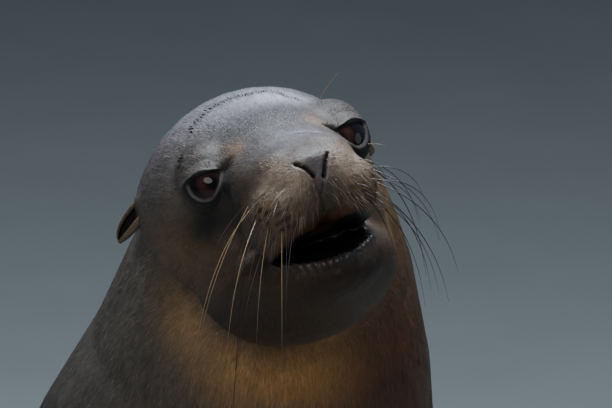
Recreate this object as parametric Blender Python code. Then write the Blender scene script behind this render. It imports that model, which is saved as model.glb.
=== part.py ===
"""A life-size California sea lion, a young female of about 1.5 m, sitting on the floor.

She faces -Y with her left side towards +X, and the floor is at z = 0. Her rump and belly lie on the floor, the
chest is held up on the two fore flippers, the hind flippers are turned forward under her, and the head is turned
a little to her right, lifted and tilted, with the mouth slightly open. All sizes are in metres.

The flesh is built from lofts and rounded lumps, melted into one skin by a voxel remesh and smoothing, thinned
out, and then parted with thin cuts into the pieces that a person would name. Eyes, ears and claws are solids of
their own that sit in sockets.
"""

import math
from collections import namedtuple

import bmesh
import bpy
import numpy as np
from mathutils import Matrix, Vector

# ---------------------------------------------------------------- driving dimensions

GAP = 0.0003  # clearance between pieces that touch
SPARE = 0.015  # what is left on the head and the neck until they have been thinned out

# The head's own frame has its origin midway between the eyes, -Y to the nose and +Z to the crown.
HEAD_AT = Vector((-0.056, -0.258, 0.800))
HEAD_TURN = math.radians(-18.0)  # to her right
HEAD_LIFT = math.radians(26.0)
HEAD_TILT = math.radians(-15.5)  # the left eye stands higher
EYE_AT = Vector((0.0457, 0.0018, -0.0005))  # centre of the left eyeball, in the head's frame
EYE_RADIUS = 0.0195

Station = namedtuple("Station", "place at wide up down")
# place: what lies there.  at: centre.  wide: half width.  up and down: from the centre to the top and to the bottom.

# The spine, from the root of the tail to the back of the head.
SPINE = (
    Station("tail root", (0.0, 0.622, 0.050), 0.034, 0.026, 0.040),
    Station("rump", (0.0, 0.570, 0.071), 0.082, 0.060, 0.076),
    Station("hips", (0.0, 0.480, 0.097), 0.122, 0.096, 0.110),
    Station("loins", (0.0, 0.340, 0.132), 0.150, 0.126, 0.146),
    Station("belly", (0.0, 0.195, 0.194), 0.165, 0.146, 0.160),
    Station("ribs", (0.0, 0.060, 0.300), 0.171, 0.156, 0.160),
    Station("shoulders", (0.000, -0.044, 0.424), 0.167, 0.146, 0.150),
    Station("neck base", (-0.004, -0.106, 0.535), 0.152, 0.128, 0.136),
    Station("mid neck", (-0.001, -0.138, 0.630), 0.122, 0.108, 0.114),
    Station("upper neck", (-0.008, -0.158, 0.705), 0.099, 0.086, 0.092),
    Station("nape", (-0.024, -0.178, 0.762), 0.076, 0.060, 0.074),
    Station("poll", (-0.038, -0.204, 0.796), 0.052, 0.036, 0.052),
)
NECK_STATIONS = 5  # as many as the head is melted together with
TAIL = (
    Station("root", (0.0, 0.586, 0.062), 0.050, 0.040, 0.050),
    Station("fore tail", (0.0, 0.628, 0.045), 0.036, 0.026, 0.034),
    Station("mid tail", (0.0, 0.664, 0.031), 0.025, 0.016, 0.020),
    Station("tail tip", (0.0, 0.708, 0.015), 0.014, 0.009, 0.010),
    Station("tail end", (0.0, 0.718, 0.012), 0.005, 0.004, 0.004),
)

# The head, from its back to the nose, and the lower jaw, from the throat to the chin, both in the head's frame.
SKULL = (
    Station("back", (-0.010, 0.130, -0.034), 0.070, 0.054, 0.058),
    Station("occiput", (-0.009, 0.104, -0.022), 0.081, 0.067, 0.070),
    Station("crown", (-0.0045, 0.072, -0.012), 0.083, 0.0725, 0.076),
    Station("temple", (-0.003, 0.038, -0.008), 0.077, 0.067, 0.074),
    Station("brow", (0.0, 0.004, -0.008), 0.058, 0.046, 0.064),
    Station("stop", (0.0, -0.026, -0.013), 0.046, 0.033, 0.046),
    Station("bridge", (0.0, -0.052, -0.018), 0.040, 0.026, 0.036),
    Station("muzzle", (0.0, -0.077, -0.022), 0.034, 0.021, 0.030),
    Station("nose", (0.0, -0.094, -0.023), 0.025, 0.016, 0.022),
    Station("nose tip", (0.0, -0.102, -0.023), 0.014, 0.010, 0.012),
)
JAW = (
    Station("throat", (0.0, 0.070, -0.066), 0.072, 0.046, 0.052),
    Station("jaw hinge", (0.0, 0.030, -0.074), 0.066, 0.034, 0.048),
    Station("mid jaw", (0.0, -0.010, -0.079), 0.054, 0.028, 0.038),
    Station("fore jaw", (0.0, -0.040, -0.081), 0.042, 0.024, 0.028),
    Station("chin", (0.0, -0.063, -0.084), 0.029, 0.016, 0.018),
    Station("chin tip", (0.0, -0.075, -0.084), 0.012, 0.007, 0.008),
)
# Rounded lumps of the left half of the head, mirrored to the right: centre and half sizes, in the head's frame.
LUMPS = (
    ("whisker pad", (0.0195, -0.0620, -0.0370), (0.0255, 0.0340, 0.0225)),
    ("upper lip", (0.0250, -0.0420, -0.0400), (0.0225, 0.0360, 0.0220)),
    ("bridge", (0.0110, -0.0480, -0.0140), (0.0290, 0.0440, 0.0190)),
    ("brow", (0.0445, 0.0080, 0.0060), (0.0240, 0.0250, 0.0250)),
    ("orbit", (0.0452, 0.0035, -0.0008), (0.0232, 0.0232, 0.0232)),
    ("cheek", (0.0420, 0.0500, -0.0380), (0.0290, 0.0560, 0.0460)),
)
THROAT = ((-0.028, -0.236, 0.728), (0.070, 0.060, 0.060))  # the fold under the chin: centre and half sizes

# The opening between the lids of the left eye: its way out, half its length and half its height.
LIDS_OUT = Vector((0.55, -0.82, 0.08))
LIDS_ACROSS = Vector((0.70, 0.52, 0.02))
LIDS_HALF = (0.0122, 0.0108)

# Outlines in the head's frame, each row y and z: the open mouth, and all that goes with the lower jaw.
MOUTH = ((-0.024, -0.0610), (-0.130, -0.0520), (-0.130, -0.0960))
JAW_BLOCK = ((-0.027, -0.0618), (-0.130, -0.0740), (-0.130, -0.3000), (0.146, -0.3000))
MOUTH_HALF = 0.100  # more than half the head's width
# The bare nose: the lowest and the highest corner of a box in the head's frame.
NOSE = ((-0.0150, -0.1200, -0.0350), (0.0150, -0.0890, -0.0100))

# The left ear, rolled round its hollow, from its root in the head to its tip, in the head's frame. Its hollow faces
# forward. Each row: centre, half width, half depth, and how thick the roll is.
EAR = (
    ((0.0720, 0.0790, 0.0085), 0.0075, 0.0050, 0.0046),
    ((0.0800, 0.0850, 0.0050), 0.0078, 0.0052, 0.0030),
    ((0.0870, 0.0920, -0.0010), 0.0074, 0.0050, 0.0020),
    ((0.0925, 0.0985, -0.0065), 0.0060, 0.0042, 0.0016),
    ((0.0955, 0.1030, -0.0110), 0.0038, 0.0030, 0.0014),
    ((0.0965, 0.1050, -0.0140), 0.0018, 0.0016, 0.0010),
)
EAR_SPREAD = {"left": 0.55, "right": 1.0}  # the left ear is laid closer to the head
EAR_ACROSS = Vector((-0.30, 0.10, 0.95))  # across the ear, upward
EAR_SLIT = math.radians(52.0)  # half the angle that the roll leaves open

# The left limbs, from the body to their tips. The right ones mirror them. A chord runs from the leading to the
# trailing edge of the fore flipper, and from the inner to the outer edge of the hind one.
FORE_CHORD = Vector((-0.500, 0.866, 0.0))
FORE_LIMB = (
    Station("shoulder", (0.050, 0.010, 0.400), 0.060, 0.048, 0.046),
    Station("upper arm", (0.096, -0.012, 0.338), 0.078, 0.060, 0.058),
    Station("elbow", (0.136, -0.034, 0.264), 0.080, 0.054, 0.056),
    Station("forearm", (0.182, -0.060, 0.155), 0.068, 0.036, 0.040),
    Station("wrist", (0.218, -0.070, 0.066), 0.068, 0.026, 0.034),
    Station("palm", (0.268, -0.044, 0.026), 0.078, 0.019, 0.028),
    Station("fingers", (0.346, 0.002, 0.014), 0.073, 0.012, 0.018),
    Station("finger ends", (0.424, 0.050, 0.009), 0.054, 0.007, 0.011),
    Station("blade tip", (0.474, 0.084, 0.006), 0.028, 0.004, 0.008),
    Station("blade end", (0.487, 0.092, 0.005), 0.009, 0.003, 0.007),
)
HIND_CHORD = Vector((0.890, 0.456, 0.0))
HIND_LIMB = (
    Station("thigh", (0.056, 0.520, 0.080), 0.048, 0.046, 0.052),
    Station("knee", (0.086, 0.516, 0.058), 0.052, 0.042, 0.054),
    Station("ankle", (0.112, 0.492, 0.042), 0.046, 0.034, 0.046),
    Station("foot", (0.154, 0.422, 0.022), 0.052, 0.019, 0.026),
    Station("sole", (0.182, 0.368, 0.014), 0.062, 0.012, 0.018),
    Station("web", (0.208, 0.318, 0.010), 0.078, 0.009, 0.013),
    Station("web end", (0.218, 0.298, 0.008), 0.074, 0.005, 0.010),
)
# Each hind toe: its turn from the foot's heading in degrees, its reach from the ankle and its half width.
TOES = ((20.0, 0.264, 0.019), (10.0, 0.256, 0.018), (0.0, 0.250, 0.017), (-10.0, 0.256, 0.018), (-20.0, 0.270, 0.020))
CLAWED_TOES = (1, 2, 3)
CLAW_RADIUS = 0.0042
CLAW_LENGTH = 0.014

# Planes that part the head from the neck, and the pieces of the trunk: a point, and the way to the head.
HEAD_CUT = ((-0.030, -0.205, 0.706), (0.10, -0.62, 0.78))
TRUNK_CUTS = ("neck base", "belly", "hips", "tail root")
# Blocks that part the left flippers from the body: the block's outline on the floor, and its top, which is so high
# at x = 0 and rises so much for each metre outwards.
FORE_CUT = (
    ((0.098, -0.26), (0.098, -0.050), (0.150, 0.030), (0.200, 0.045), (0.200, 0.19), (0.60, 0.19), (0.60, -0.26)),
    0.185,
    0.43,
)
HIND_CUT = (
    ((0.084, 0.500), (0.130, 0.405), (0.130, 0.16), (0.40, 0.16), (0.40, 0.400), (0.200, 0.540)),
    0.030,
    0.25,
)
BLOCK_BOTTOM = -0.1


# ---------------------------------------------------------------- tools


def clear_scene():
    for old in list(bpy.data.objects):
        bpy.data.objects.remove(old, do_unlink=True)


def finish(name, colour, roughness):
    """A plain material of this name, made once."""
    material = bpy.data.materials.get(name)
    if material is None:
        material = bpy.data.materials.new(name)
        material.use_nodes = True
        shader = material.node_tree.nodes["Principled BSDF"]
        shader.inputs["Base Color"].default_value = (*colour, 1.0)
        shader.inputs["Roughness"].default_value = roughness
    return material


def wet_fur():
    return finish("wet_brown_fur", (0.060, 0.045, 0.035), 0.35)


def black_leather():
    return finish("black_leather", (0.012, 0.012, 0.014), 0.25)


def head_frame():
    turn = Matrix.Rotation(HEAD_TURN, 4, "Z")
    lift = Matrix.Rotation(-HEAD_LIFT, 4, "X")
    tilt = Matrix.Rotation(HEAD_TILT, 4, "Y")
    return Matrix.Translation(HEAD_AT) @ turn @ lift @ tilt


def left_and_right():
    """The ending of each side's names, and what turns a left shape into that side's."""
    return (("left", Matrix()), ("right", Matrix.Diagonal((-1, 1, 1, 1))))


def through(knots, rows, at):
    """A smooth curve through the rows, one for each knot, read at the given places."""
    knots, rows = np.asarray(knots, float), np.asarray(rows, float)
    slopes = np.gradient(rows, knots, axis=0)
    i = np.clip(np.searchsorted(knots, at, side="right") - 1, 0, len(knots) - 2)
    span = (knots[i + 1] - knots[i])[:, None]
    t = ((at - knots[i])[:, None]) / span
    return (
        (2 * t**3 - 3 * t**2 + 1) * rows[i]
        + (t**3 - 2 * t**2 + t) * span * slopes[i]
        + (3 * t**2 - 2 * t**3) * rows[i + 1]
        + (t**3 - t**2) * span * slopes[i + 1]
    )


def add_rings(shape, rings):
    """Skins a row of rings of points and closes both ends."""
    made = [[shape.verts.new(p) for p in ring] for ring in rings]
    n = len(made[0])
    for low, high in zip(made, made[1:]):
        for k in range(n):
            shape.faces.new((low[k], low[(k + 1) % n], high[(k + 1) % n], high[k]))
    shape.faces.new(made[0][::-1])
    shape.faces.new(made[-1])


def loft(shape, stations, sides=32, step=0.008, across=Vector((1, 0, 0)), matrix=Matrix()):
    """A rounded body through the stations. Its rings stand square to its path, and `across` spans their width."""
    at = np.array([s.at for s in stations])
    along = np.concatenate([[0], np.cumsum(np.linalg.norm(np.diff(at, axis=0), axis=1))])
    rows = np.hstack([at, [[s.wide, s.up, s.down] for s in stations]])
    places = np.linspace(0, along[-1], max(4, round(along[-1] / step)))
    path = through(along, rows, places)
    headings = np.gradient(path[:, :3], places, axis=0)
    rings = []
    for row, heading in zip(path, headings):
        forward = Vector(heading).normalized()
        up = forward.cross(across).normalized()
        side = up.cross(forward)
        wide, high, low = row[3:]
        ring = []
        for angle in np.linspace(0, 2 * math.pi, sides, endpoint=False):
            rise = math.sin(angle) * (high if math.sin(angle) > 0 else low)
            ring.append(matrix @ (Vector(row[:3]) + side * (wide * math.cos(angle)) + up * rise))
        rings.append(ring)
    add_rings(shape, rings)


def add_lump(shape, centre, half, matrix=Matrix()):
    """A rounded lump with these half sizes."""
    placed = matrix @ Matrix.Translation(centre) @ Matrix.Diagonal((*half, 1.0))
    bmesh.ops.create_uvsphere(shape, u_segments=24, v_segments=16, radius=1.0, matrix=placed)


def object_of(name, shape, material=None):
    """Turns a shape into an object, with its faces out."""
    bmesh.ops.recalc_face_normals(shape, faces=shape.faces)
    bmesh.ops.triangulate(shape, faces=shape.faces)
    mesh = bpy.data.meshes.new(name)
    shape.to_mesh(mesh)
    shape.free()
    made = bpy.data.objects.new(name, mesh)
    bpy.context.scene.collection.objects.link(made)
    if material:
        mesh.materials.append(material)
    return made


def copy_of(obj, name):
    made = obj.copy()
    made.data = obj.data.copy()
    made.name = name
    bpy.context.scene.collection.objects.link(made)
    return made


def apply_modifiers(obj):
    graph = bpy.context.evaluated_depsgraph_get()
    mesh = bpy.data.meshes.new_from_object(obj.evaluated_get(graph))
    obj.modifiers.clear()
    obj.data = mesh


def melt(obj, voxel, rounds):
    """Melts the joined shapes of obj into one smooth skin."""
    remesh = obj.modifiers.new("melt", "REMESH")
    remesh.mode = "VOXEL"
    remesh.voxel_size = voxel
    smooth = obj.modifiers.new("smooth", "SMOOTH")
    smooth.factor = 0.5
    smooth.iterations = rounds
    apply_modifiers(obj)


def thin_out(obj, triangles):
    """Thins obj out to about this many triangles."""
    faces = sum(len(face.vertices) - 2 for face in obj.data.polygons)
    thin = obj.modifiers.new("thin", "DECIMATE")
    thin.ratio = min(1.0, triangles / faces)
    apply_modifiers(obj)


def grown(shape, reach):
    """Makes the shape stand out by about `reach` all round."""
    bmesh.ops.recalc_face_normals(shape, faces=shape.faces)
    places = [v.co + v.normal * (min(v.calc_shell_factor(), 1.8) * reach) for v in shape.verts]
    for vertex, place in zip(shape.verts, places):
        vertex.co = place
    return shape


def socket_for(obj):
    """The space that obj needs, with its clearance."""
    shape = bmesh.new()
    shape.from_mesh(obj.data)
    return grown(shape, GAP)


def box(low, high, matrix=Matrix(), extra=0.0):
    """A box between two corners, grown by `extra` on every side."""
    low, high = Vector(low), Vector(high)
    size = high - low + Vector((2 * extra,) * 3)
    shape = bmesh.new()
    placed = matrix @ Matrix.Translation((low + high) / 2) @ Matrix.Diagonal((*size, 1.0))
    bmesh.ops.create_cube(shape, size=1.0, matrix=placed)
    return shape


def block(outline, top, slope, flip):
    """A block that stands through the floor, with a sloping top."""
    shape = bmesh.new()
    low = [flip @ Vector((x, y, BLOCK_BOTTOM)) for x, y in outline]
    high = [flip @ Vector((x, y, top + slope * x)) for x, y in outline]
    add_rings(shape, (low, high))
    return shape


def drop_crumbs(obj):
    """Keeps the largest of obj's separate bodies."""
    shape = bmesh.new()
    shape.from_mesh(obj.data)
    left = set(shape.verts)
    bodies = []
    while left:
        body, edge = set(), {left.pop()}
        while edge:
            body |= edge
            edge = {e.other_vert(v) for v in edge for e in v.link_edges} - body
        left -= body
        bodies.append(body)
    bodies.sort(key=len)
    for crumb in bodies[:-1]:
        bmesh.ops.delete(shape, geom=list(crumb), context="VERTS")
    shape.to_mesh(obj.data)
    shape.free()


def cut(obj, shape, operation="DIFFERENCE"):
    """Cuts shape out of obj, or keeps only what lies within it. The shape is used up."""
    cutter = object_of("cutter", shape)
    boolean = obj.modifiers.new("cut", "BOOLEAN")
    boolean.operation = operation
    boolean.object = cutter
    apply_modifiers(obj)
    bpy.data.objects.remove(cutter, do_unlink=True)
    drop_crumbs(obj)


def halve(obj, point, way):
    """Keeps what lies on the side of a plane that `way` points to, and closes it with a flat face."""
    shape = bmesh.new()
    shape.from_mesh(obj.data)
    everything = shape.verts[:] + shape.edges[:] + shape.faces[:]
    found = bmesh.ops.bisect_plane(
        shape, geom=everything, dist=1e-6, plane_co=point, plane_no=-Vector(way), clear_outer=True
    )
    rim = [e for e in found["geom_cut"] if isinstance(e, bmesh.types.BMEdge)]
    bmesh.ops.holes_fill(shape, edges=rim, sides=0)
    bmesh.ops.triangulate(shape, faces=[f for f in shape.faces if len(f.verts) > 4])
    bmesh.ops.recalc_face_normals(shape, faces=shape.faces)
    shape.to_mesh(obj.data)
    shape.free()


def part(obj, name, point, way):
    """Parts obj at a plane, with a thin gap. Returns the new piece, which lies on the side that `way` points to."""
    point, way = Vector(point), Vector(way).normalized()
    made = copy_of(obj, name)
    halve(made, point + way * GAP / 2, way)
    halve(obj, point - way * GAP / 2, -way)
    return made


# ---------------------------------------------------------------- the flesh


def build_head_flesh():
    shape = bmesh.new()
    frame = head_frame()
    loft(shape, SKULL, step=0.006, matrix=frame)
    loft(shape, JAW, step=0.006, matrix=frame)
    for _, flip in left_and_right():
        for _, centre, half in LUMPS:
            add_lump(shape, centre, half, frame @ flip)
    loft(shape, SPINE[-NECK_STATIONS:])
    add_lump(shape, *THROAT)
    flesh = object_of("head", shape)
    melt(flesh, voxel=0.0025, rounds=12)
    point, way = Vector(HEAD_CUT[0]), Vector(HEAD_CUT[1]).normalized()
    halve(flesh, point - way * SPARE, way)
    thin_out(flesh, 2250)
    halve(flesh, point + way * GAP / 2, way)
    return flesh


def toe_line(number):
    """Where a left hind toe leaves the foot, and where its flap ends."""
    turn, reach, _ = TOES[number]
    ankle, sole = Vector(HIND_LIMB[2].at), Vector(HIND_LIMB[4].at)
    heading = ((sole - ankle) * Vector((1, 1, 0))).normalized()
    way = Matrix.Rotation(math.radians(turn), 3, "Z") @ heading
    return ankle + way * 0.45 * reach, ankle + way * reach


def add_toes(shape, flip):
    """Five broad toes that fan out from the foot and end in flaps."""
    for number, (_, _, half) in enumerate(TOES):
        root, tip = toe_line(number)
        toe = (
            Station("root", (root.x, root.y, 0.016), half, 0.012, 0.018),
            Station("knuckle", (*root.lerp(tip, 0.6).xy, 0.010), half, 0.009, 0.013),
            Station("flap", (*root.lerp(tip, 0.9).xy, 0.006), half * 0.9, 0.005, 0.008),
            Station("flap end", (tip.x, tip.y, 0.005), half * 0.5, 0.003, 0.007),
        )
        loft(shape, toe, sides=16, across=HIND_CHORD, matrix=flip)


def build_body_flesh():
    shape = bmesh.new()
    loft(shape, SPINE)
    loft(shape, TAIL, sides=20)
    add_lump(shape, *THROAT)
    for _, flip in left_and_right():
        loft(shape, FORE_LIMB, across=FORE_CHORD, matrix=flip)
        loft(shape, HIND_LIMB, across=HIND_CHORD, matrix=flip)
        add_toes(shape, flip)
    flesh = object_of("hips", shape)
    melt(flesh, voxel=0.0045, rounds=6)
    point, way = Vector(HEAD_CUT[0]), Vector(HEAD_CUT[1]).normalized()
    halve(flesh, point + way * SPARE, -way)
    thin_out(flesh, 2000)
    halve(flesh, point - way * GAP / 2, -way)
    return flesh


# ---------------------------------------------------------------- eyes, ears and claws


def build_eyes():
    eyes = []
    for side, flip in left_and_right():
        shape = bmesh.new()
        placed = head_frame() @ flip @ Matrix.Translation(EYE_AT)
        bmesh.ops.create_icosphere(shape, subdivisions=3, radius=EYE_RADIUS, matrix=placed)
        eyes.append(object_of(f"eye_{side}", shape, finish("eye_brown", (0.08, 0.025, 0.02), 0.05)))
    return eyes


def build_ears():
    """Each ear is a thin roll with a slit down its front."""
    places = np.linspace(0, len(EAR) - 1, 8)
    arc = np.linspace(EAR_SLIT, 2 * math.pi - EAR_SLIT, 7)
    ears = []
    for side, flip in left_and_right():
        path = through(np.arange(len(EAR)), [[*row[0], *row[1:]] for row in EAR], places)
        path[:, 0] = path[0, 0] + (path[:, 0] - path[0, 0]) * EAR_SPREAD[side]
        headings = np.gradient(path[:, :3], places, axis=0)
        rings = []
        for row, heading in zip(path, headings):
            forward = Vector(heading).normalized()
            front = forward.cross(EAR_ACROSS).normalized()
            across = front.cross(forward)
            wide, deep, wall = row[3:]
            outer = [(wide * math.sin(a), deep * math.cos(a)) for a in arc]
            inner = [((wide - wall) * math.sin(a), (deep - wall) * math.cos(a)) for a in arc[::-1]]
            ring = [Vector(row[:3]) + across * x + front * y for x, y in outer + inner]
            rings.append([head_frame() @ flip @ p for p in ring])
        shape = bmesh.new()
        add_rings(shape, rings)
        ears.append(object_of(f"ear_{side}", shape, finish("ear_brown", (0.06, 0.035, 0.02), 0.6)))
    return ears


def build_claws():
    """Three small nails lie on the middle toes of each hind flipper."""
    claws = []
    for side, flip in left_and_right():
        for number in CLAWED_TOES:
            root, tip = toe_line(number)
            at = root.lerp(tip, 0.62)
            way = (tip - root).normalized()
            stations = (
                Station("root", (at.x, at.y, 0.0165), CLAW_RADIUS, 0.0030, 0.0050),
                Station("middle", (*(at + way * 0.6 * CLAW_LENGTH).xy, 0.0160), CLAW_RADIUS * 0.8, 0.0026, 0.0050),
                Station("point", (*(at + way * CLAW_LENGTH).xy, 0.0140), CLAW_RADIUS * 0.35, 0.0010, 0.0030),
            )
            shape = bmesh.new()
            loft(shape, stations, sides=8, step=0.004, across=HIND_CHORD, matrix=flip)
            claws.append(object_of(f"claw_{side}_{number}", shape, black_leather()))
    return claws


# ---------------------------------------------------------------- parting the flesh


def prism(outline, extra=0.0):
    """A prism right across the head. `extra` moves its first and last corner back."""
    shifts = [extra if k in (0, len(outline) - 1) else 0.0 for k in range(len(outline))]
    half = MOUTH_HALF + extra
    frame = head_frame()
    rings = []
    for x in (-half, half):
        rings.append([frame @ Vector((x, y + shift, z)) for (y, z), shift in zip(outline, shifts)])
    shape = bmesh.new()
    add_rings(shape, rings)
    return shape


def lids_opening(flip):
    """An oval hole from the middle of the eyeball out through the lids."""
    placed = head_frame() @ flip
    across = (LIDS_ACROSS - LIDS_ACROSS.project(LIDS_OUT)).normalized()
    up = LIDS_OUT.cross(across).normalized()
    rings = []
    for reach in (0.0, 2 * EYE_RADIUS):
        centre = EYE_AT + LIDS_OUT.normalized() * reach
        ring = []
        for angle in np.linspace(0, 2 * math.pi, 20, endpoint=False):
            offset = across * (LIDS_HALF[0] * math.cos(angle)) + up * (LIDS_HALF[1] * math.sin(angle))
            ring.append(placed @ (centre + offset))
        rings.append(ring)
    shape = bmesh.new()
    add_rings(shape, rings)
    return shape


def part_head(head, ears, eyes):
    """Parts the head into the bare nose, the lower jaw and the rest, and sinks the sockets."""
    nose = copy_of(head, "nose")
    cut(nose, box(*NOSE, head_frame()), "INTERSECT")
    cut(head, box(*NOSE, head_frame(), GAP))
    cut(head, prism(MOUTH))
    jaw = copy_of(head, "lower_jaw")
    cut(jaw, prism(JAW_BLOCK), "INTERSECT")
    cut(head, prism(JAW_BLOCK, GAP))
    for _, flip in left_and_right():
        cut(head, lids_opening(flip))
    for piece in ears + eyes:
        cut(head, socket_for(piece))
    return [(head, wet_fur()), (jaw, wet_fur()), (nose, black_leather())]


def spine_plane(place):
    """A point on the spine, and the way that the spine runs there towards the head."""
    index = [s.place for s in SPINE].index(place)
    before, after = Vector(SPINE[max(index - 1, 0)].at), Vector(SPINE[index + 1].at)
    return Vector(SPINE[index].at), after - before


def part_body(body, claws):
    """Parts the body into flippers, neck, chest, belly, hips and tail."""
    halve(body, (0, 0, 0), (0, 0, 1))
    pieces = []
    for side, flip in left_and_right():
        for name, sizes in (("fore_flipper", FORE_CUT), ("hind_flipper", HIND_CUT)):
            flipper = copy_of(body, f"{name}_{side}")
            cut(flipper, block(*sizes, flip), "INTERSECT")
            cut(body, grown(block(*sizes, flip), GAP))
            for claw in claws:
                if name == "hind_flipper" and side in claw.name:
                    cut(flipper, socket_for(claw))
            pieces.append((flipper, black_leather()))
    for name, place in zip(("neck", "chest", "belly"), TRUNK_CUTS):
        pieces.append((part(body, name, *spine_plane(place)), wet_fur()))
    tail = copy_of(body, "tail")
    point, way = spine_plane(TRUNK_CUTS[-1])
    way = way.normalized()
    halve(tail, point - way * GAP / 2, -way)
    halve(body, point + way * GAP / 2, way)
    return pieces + [(body, wet_fur()), (tail, wet_fur())]


def centre_on_floor(objects):
    """Moves everything so that the middle of its outline, seen from above, stands at the origin."""
    corners = np.array([obj.matrix_world @ v.co for obj in objects for v in obj.data.vertices])
    middle = (corners.min(axis=0) + corners.max(axis=0)) / 2
    for obj in objects:
        obj.data.transform(Matrix.Translation((-middle[0], -middle[1], 0)))


def main():
    clear_scene()
    head, body = build_head_flesh(), build_body_flesh()
    pieces = part_head(head, build_ears(), build_eyes()) + part_body(body, build_claws())
    for piece, material in pieces:
        piece.data.materials.clear()
        piece.data.materials.append(material)
    centre_on_floor(list(bpy.context.scene.collection.objects))


main()
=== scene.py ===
"""Dresses the sea lion: one wet skin, a short coat, eyes, ears, claws and whiskers, on a pale floor.

The skin is melted from the solids of flesh, made finer on the head, and given lids, lips, nostrils and
folds there. Skin and coat take their colours from the same table of markings. Most places on the head are
given in its own frame, as `h`: the origin is midway between the eyes, -Y points to the nose, +Z to the
crown and +X to the animal's left.
"""

import math

import bmesh
import bpy
import numpy as np
from mathutils import Matrix, Vector
from mathutils.bvhtree import BVHTree


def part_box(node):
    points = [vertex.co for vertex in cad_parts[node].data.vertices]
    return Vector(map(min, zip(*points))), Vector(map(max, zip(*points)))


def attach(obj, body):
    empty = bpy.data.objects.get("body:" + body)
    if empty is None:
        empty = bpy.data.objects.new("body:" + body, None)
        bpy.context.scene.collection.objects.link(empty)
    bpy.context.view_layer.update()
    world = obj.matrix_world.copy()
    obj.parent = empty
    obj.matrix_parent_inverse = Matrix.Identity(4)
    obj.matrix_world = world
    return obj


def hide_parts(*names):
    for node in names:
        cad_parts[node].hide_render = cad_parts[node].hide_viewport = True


bl_info = {
    "name": "Sea lion figure",
    "version": (1, 0, 0),
    "blender": (4, 5, 0),
    "location": "3D View > Sidebar > Sea lion",
    "description": "Builds the skin, coat, eyes, ears, whiskers and claws of a life-size sea lion",
    "category": "Object",
}

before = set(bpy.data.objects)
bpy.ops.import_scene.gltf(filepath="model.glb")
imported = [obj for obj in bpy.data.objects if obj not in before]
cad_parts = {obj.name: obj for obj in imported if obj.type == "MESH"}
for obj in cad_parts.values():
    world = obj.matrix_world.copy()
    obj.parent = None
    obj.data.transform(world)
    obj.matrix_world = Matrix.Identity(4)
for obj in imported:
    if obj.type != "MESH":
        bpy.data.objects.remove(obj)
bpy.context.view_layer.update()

FUR_NODES = ("head", "lower_jaw", "neck", "chest", "belly", "hips", "tail")
BARE_NODES = ("nose", "fore_flipper_left", "fore_flipper_right", "hind_flipper_left", "hind_flipper_right")
SIDES = {"left": 1.0, "right": -1.0}

# ---------------------------------------------------------------- the head's own frame

# The head is tilted to one side, lifted and turned.
TURN = Matrix.Rotation(math.radians(-18.0), 3, "Z")
LIFT = Matrix.Rotation(math.radians(-26.0), 3, "X")
TILT = Matrix.Rotation(math.radians(-15.5), 3, "Y")
HEAD_AXES = np.array(TURN @ LIFT @ TILT)
EYE_AT = np.array((0.0457, 0.0018, -0.0005))  # the left eyeball's centre
EYE_RADIUS = 0.0195
HEAD_MIDDLE = (0, 0, -0.02)
FACE_MIDDLE = (0, -0.02, -0.02)


def middle_of(node):
    low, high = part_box(node)
    return (np.array(low) + np.array(high)) / 2


HEAD_AT = (middle_of("eye_left") + middle_of("eye_right")) / 2 - HEAD_AXES @ (EYE_AT * (0, 1, 1))


def to_head(points):
    return (points - HEAD_AT) @ HEAD_AXES


def from_head(points):
    return np.asarray(points, float) @ HEAD_AXES.T + HEAD_AT


def unit(vectors):
    vectors = np.asarray(vectors, float)
    return vectors / np.maximum(np.linalg.norm(vectors, axis=-1, keepdims=True), 1e-9)


def ease(values, low, high):
    """0 up to low, 1 from high, and a smooth rise between them."""
    t = np.clip((values - low) / (high - low), 0, 1)
    return t * t * (3 - 2 * t)


def bump(values, middle, width):
    return np.exp(-(((values - middle) / width) ** 2))


def apart(points, middle):
    """The distance of each point from a middle."""
    return np.linalg.norm(points - middle, axis=1)


def patch(points, middle, half, power=2):
    """1 in the middle, fading out at its half sizes. A higher power has a sharper edge."""
    return np.exp(-(((points - middle) / half) ** power).sum(1))


def mirrored(points):
    return np.asarray(points, float) * (-1, 1, 1)


def on_left(h):
    """The points, with those of the head's right half mirrored to the left."""
    return np.hstack([np.abs(h[:, :1]), h[:, 1:]])


# The opening between the lids of the left eye: the way out through it, and the way from its inner to its
# outer corner.
LIDS_OUT = unit((0.55, -0.82, 0.08))
LIDS_SLANT = np.array((0.70, 0.52, 0.02))
LIDS_ALONG = unit(LIDS_SLANT - LIDS_OUT * np.dot(LIDS_SLANT, LIDS_OUT))
LIDS_UP = np.cross(LIDS_OUT, LIDS_ALONG)
LIDS_LINE = 0.0020  # the line between the corners lies this far above the eyeball's middle
LIDS_MIDDLE = -0.0020  # and its middle this far outward along it
LIDS_HALF_LENGTH = 0.0108
LIDS_RISE = 0.0022
LIDS_DROP = 0.0126

FLOOR_GAP = 0.0004  # nothing reaches lower than this

# ---------------------------------------------------------------- the paths that the coat lies along

COAT_STRETCH = 0.1  # the pattern of the coat is drawn out along it, by one over this

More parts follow.
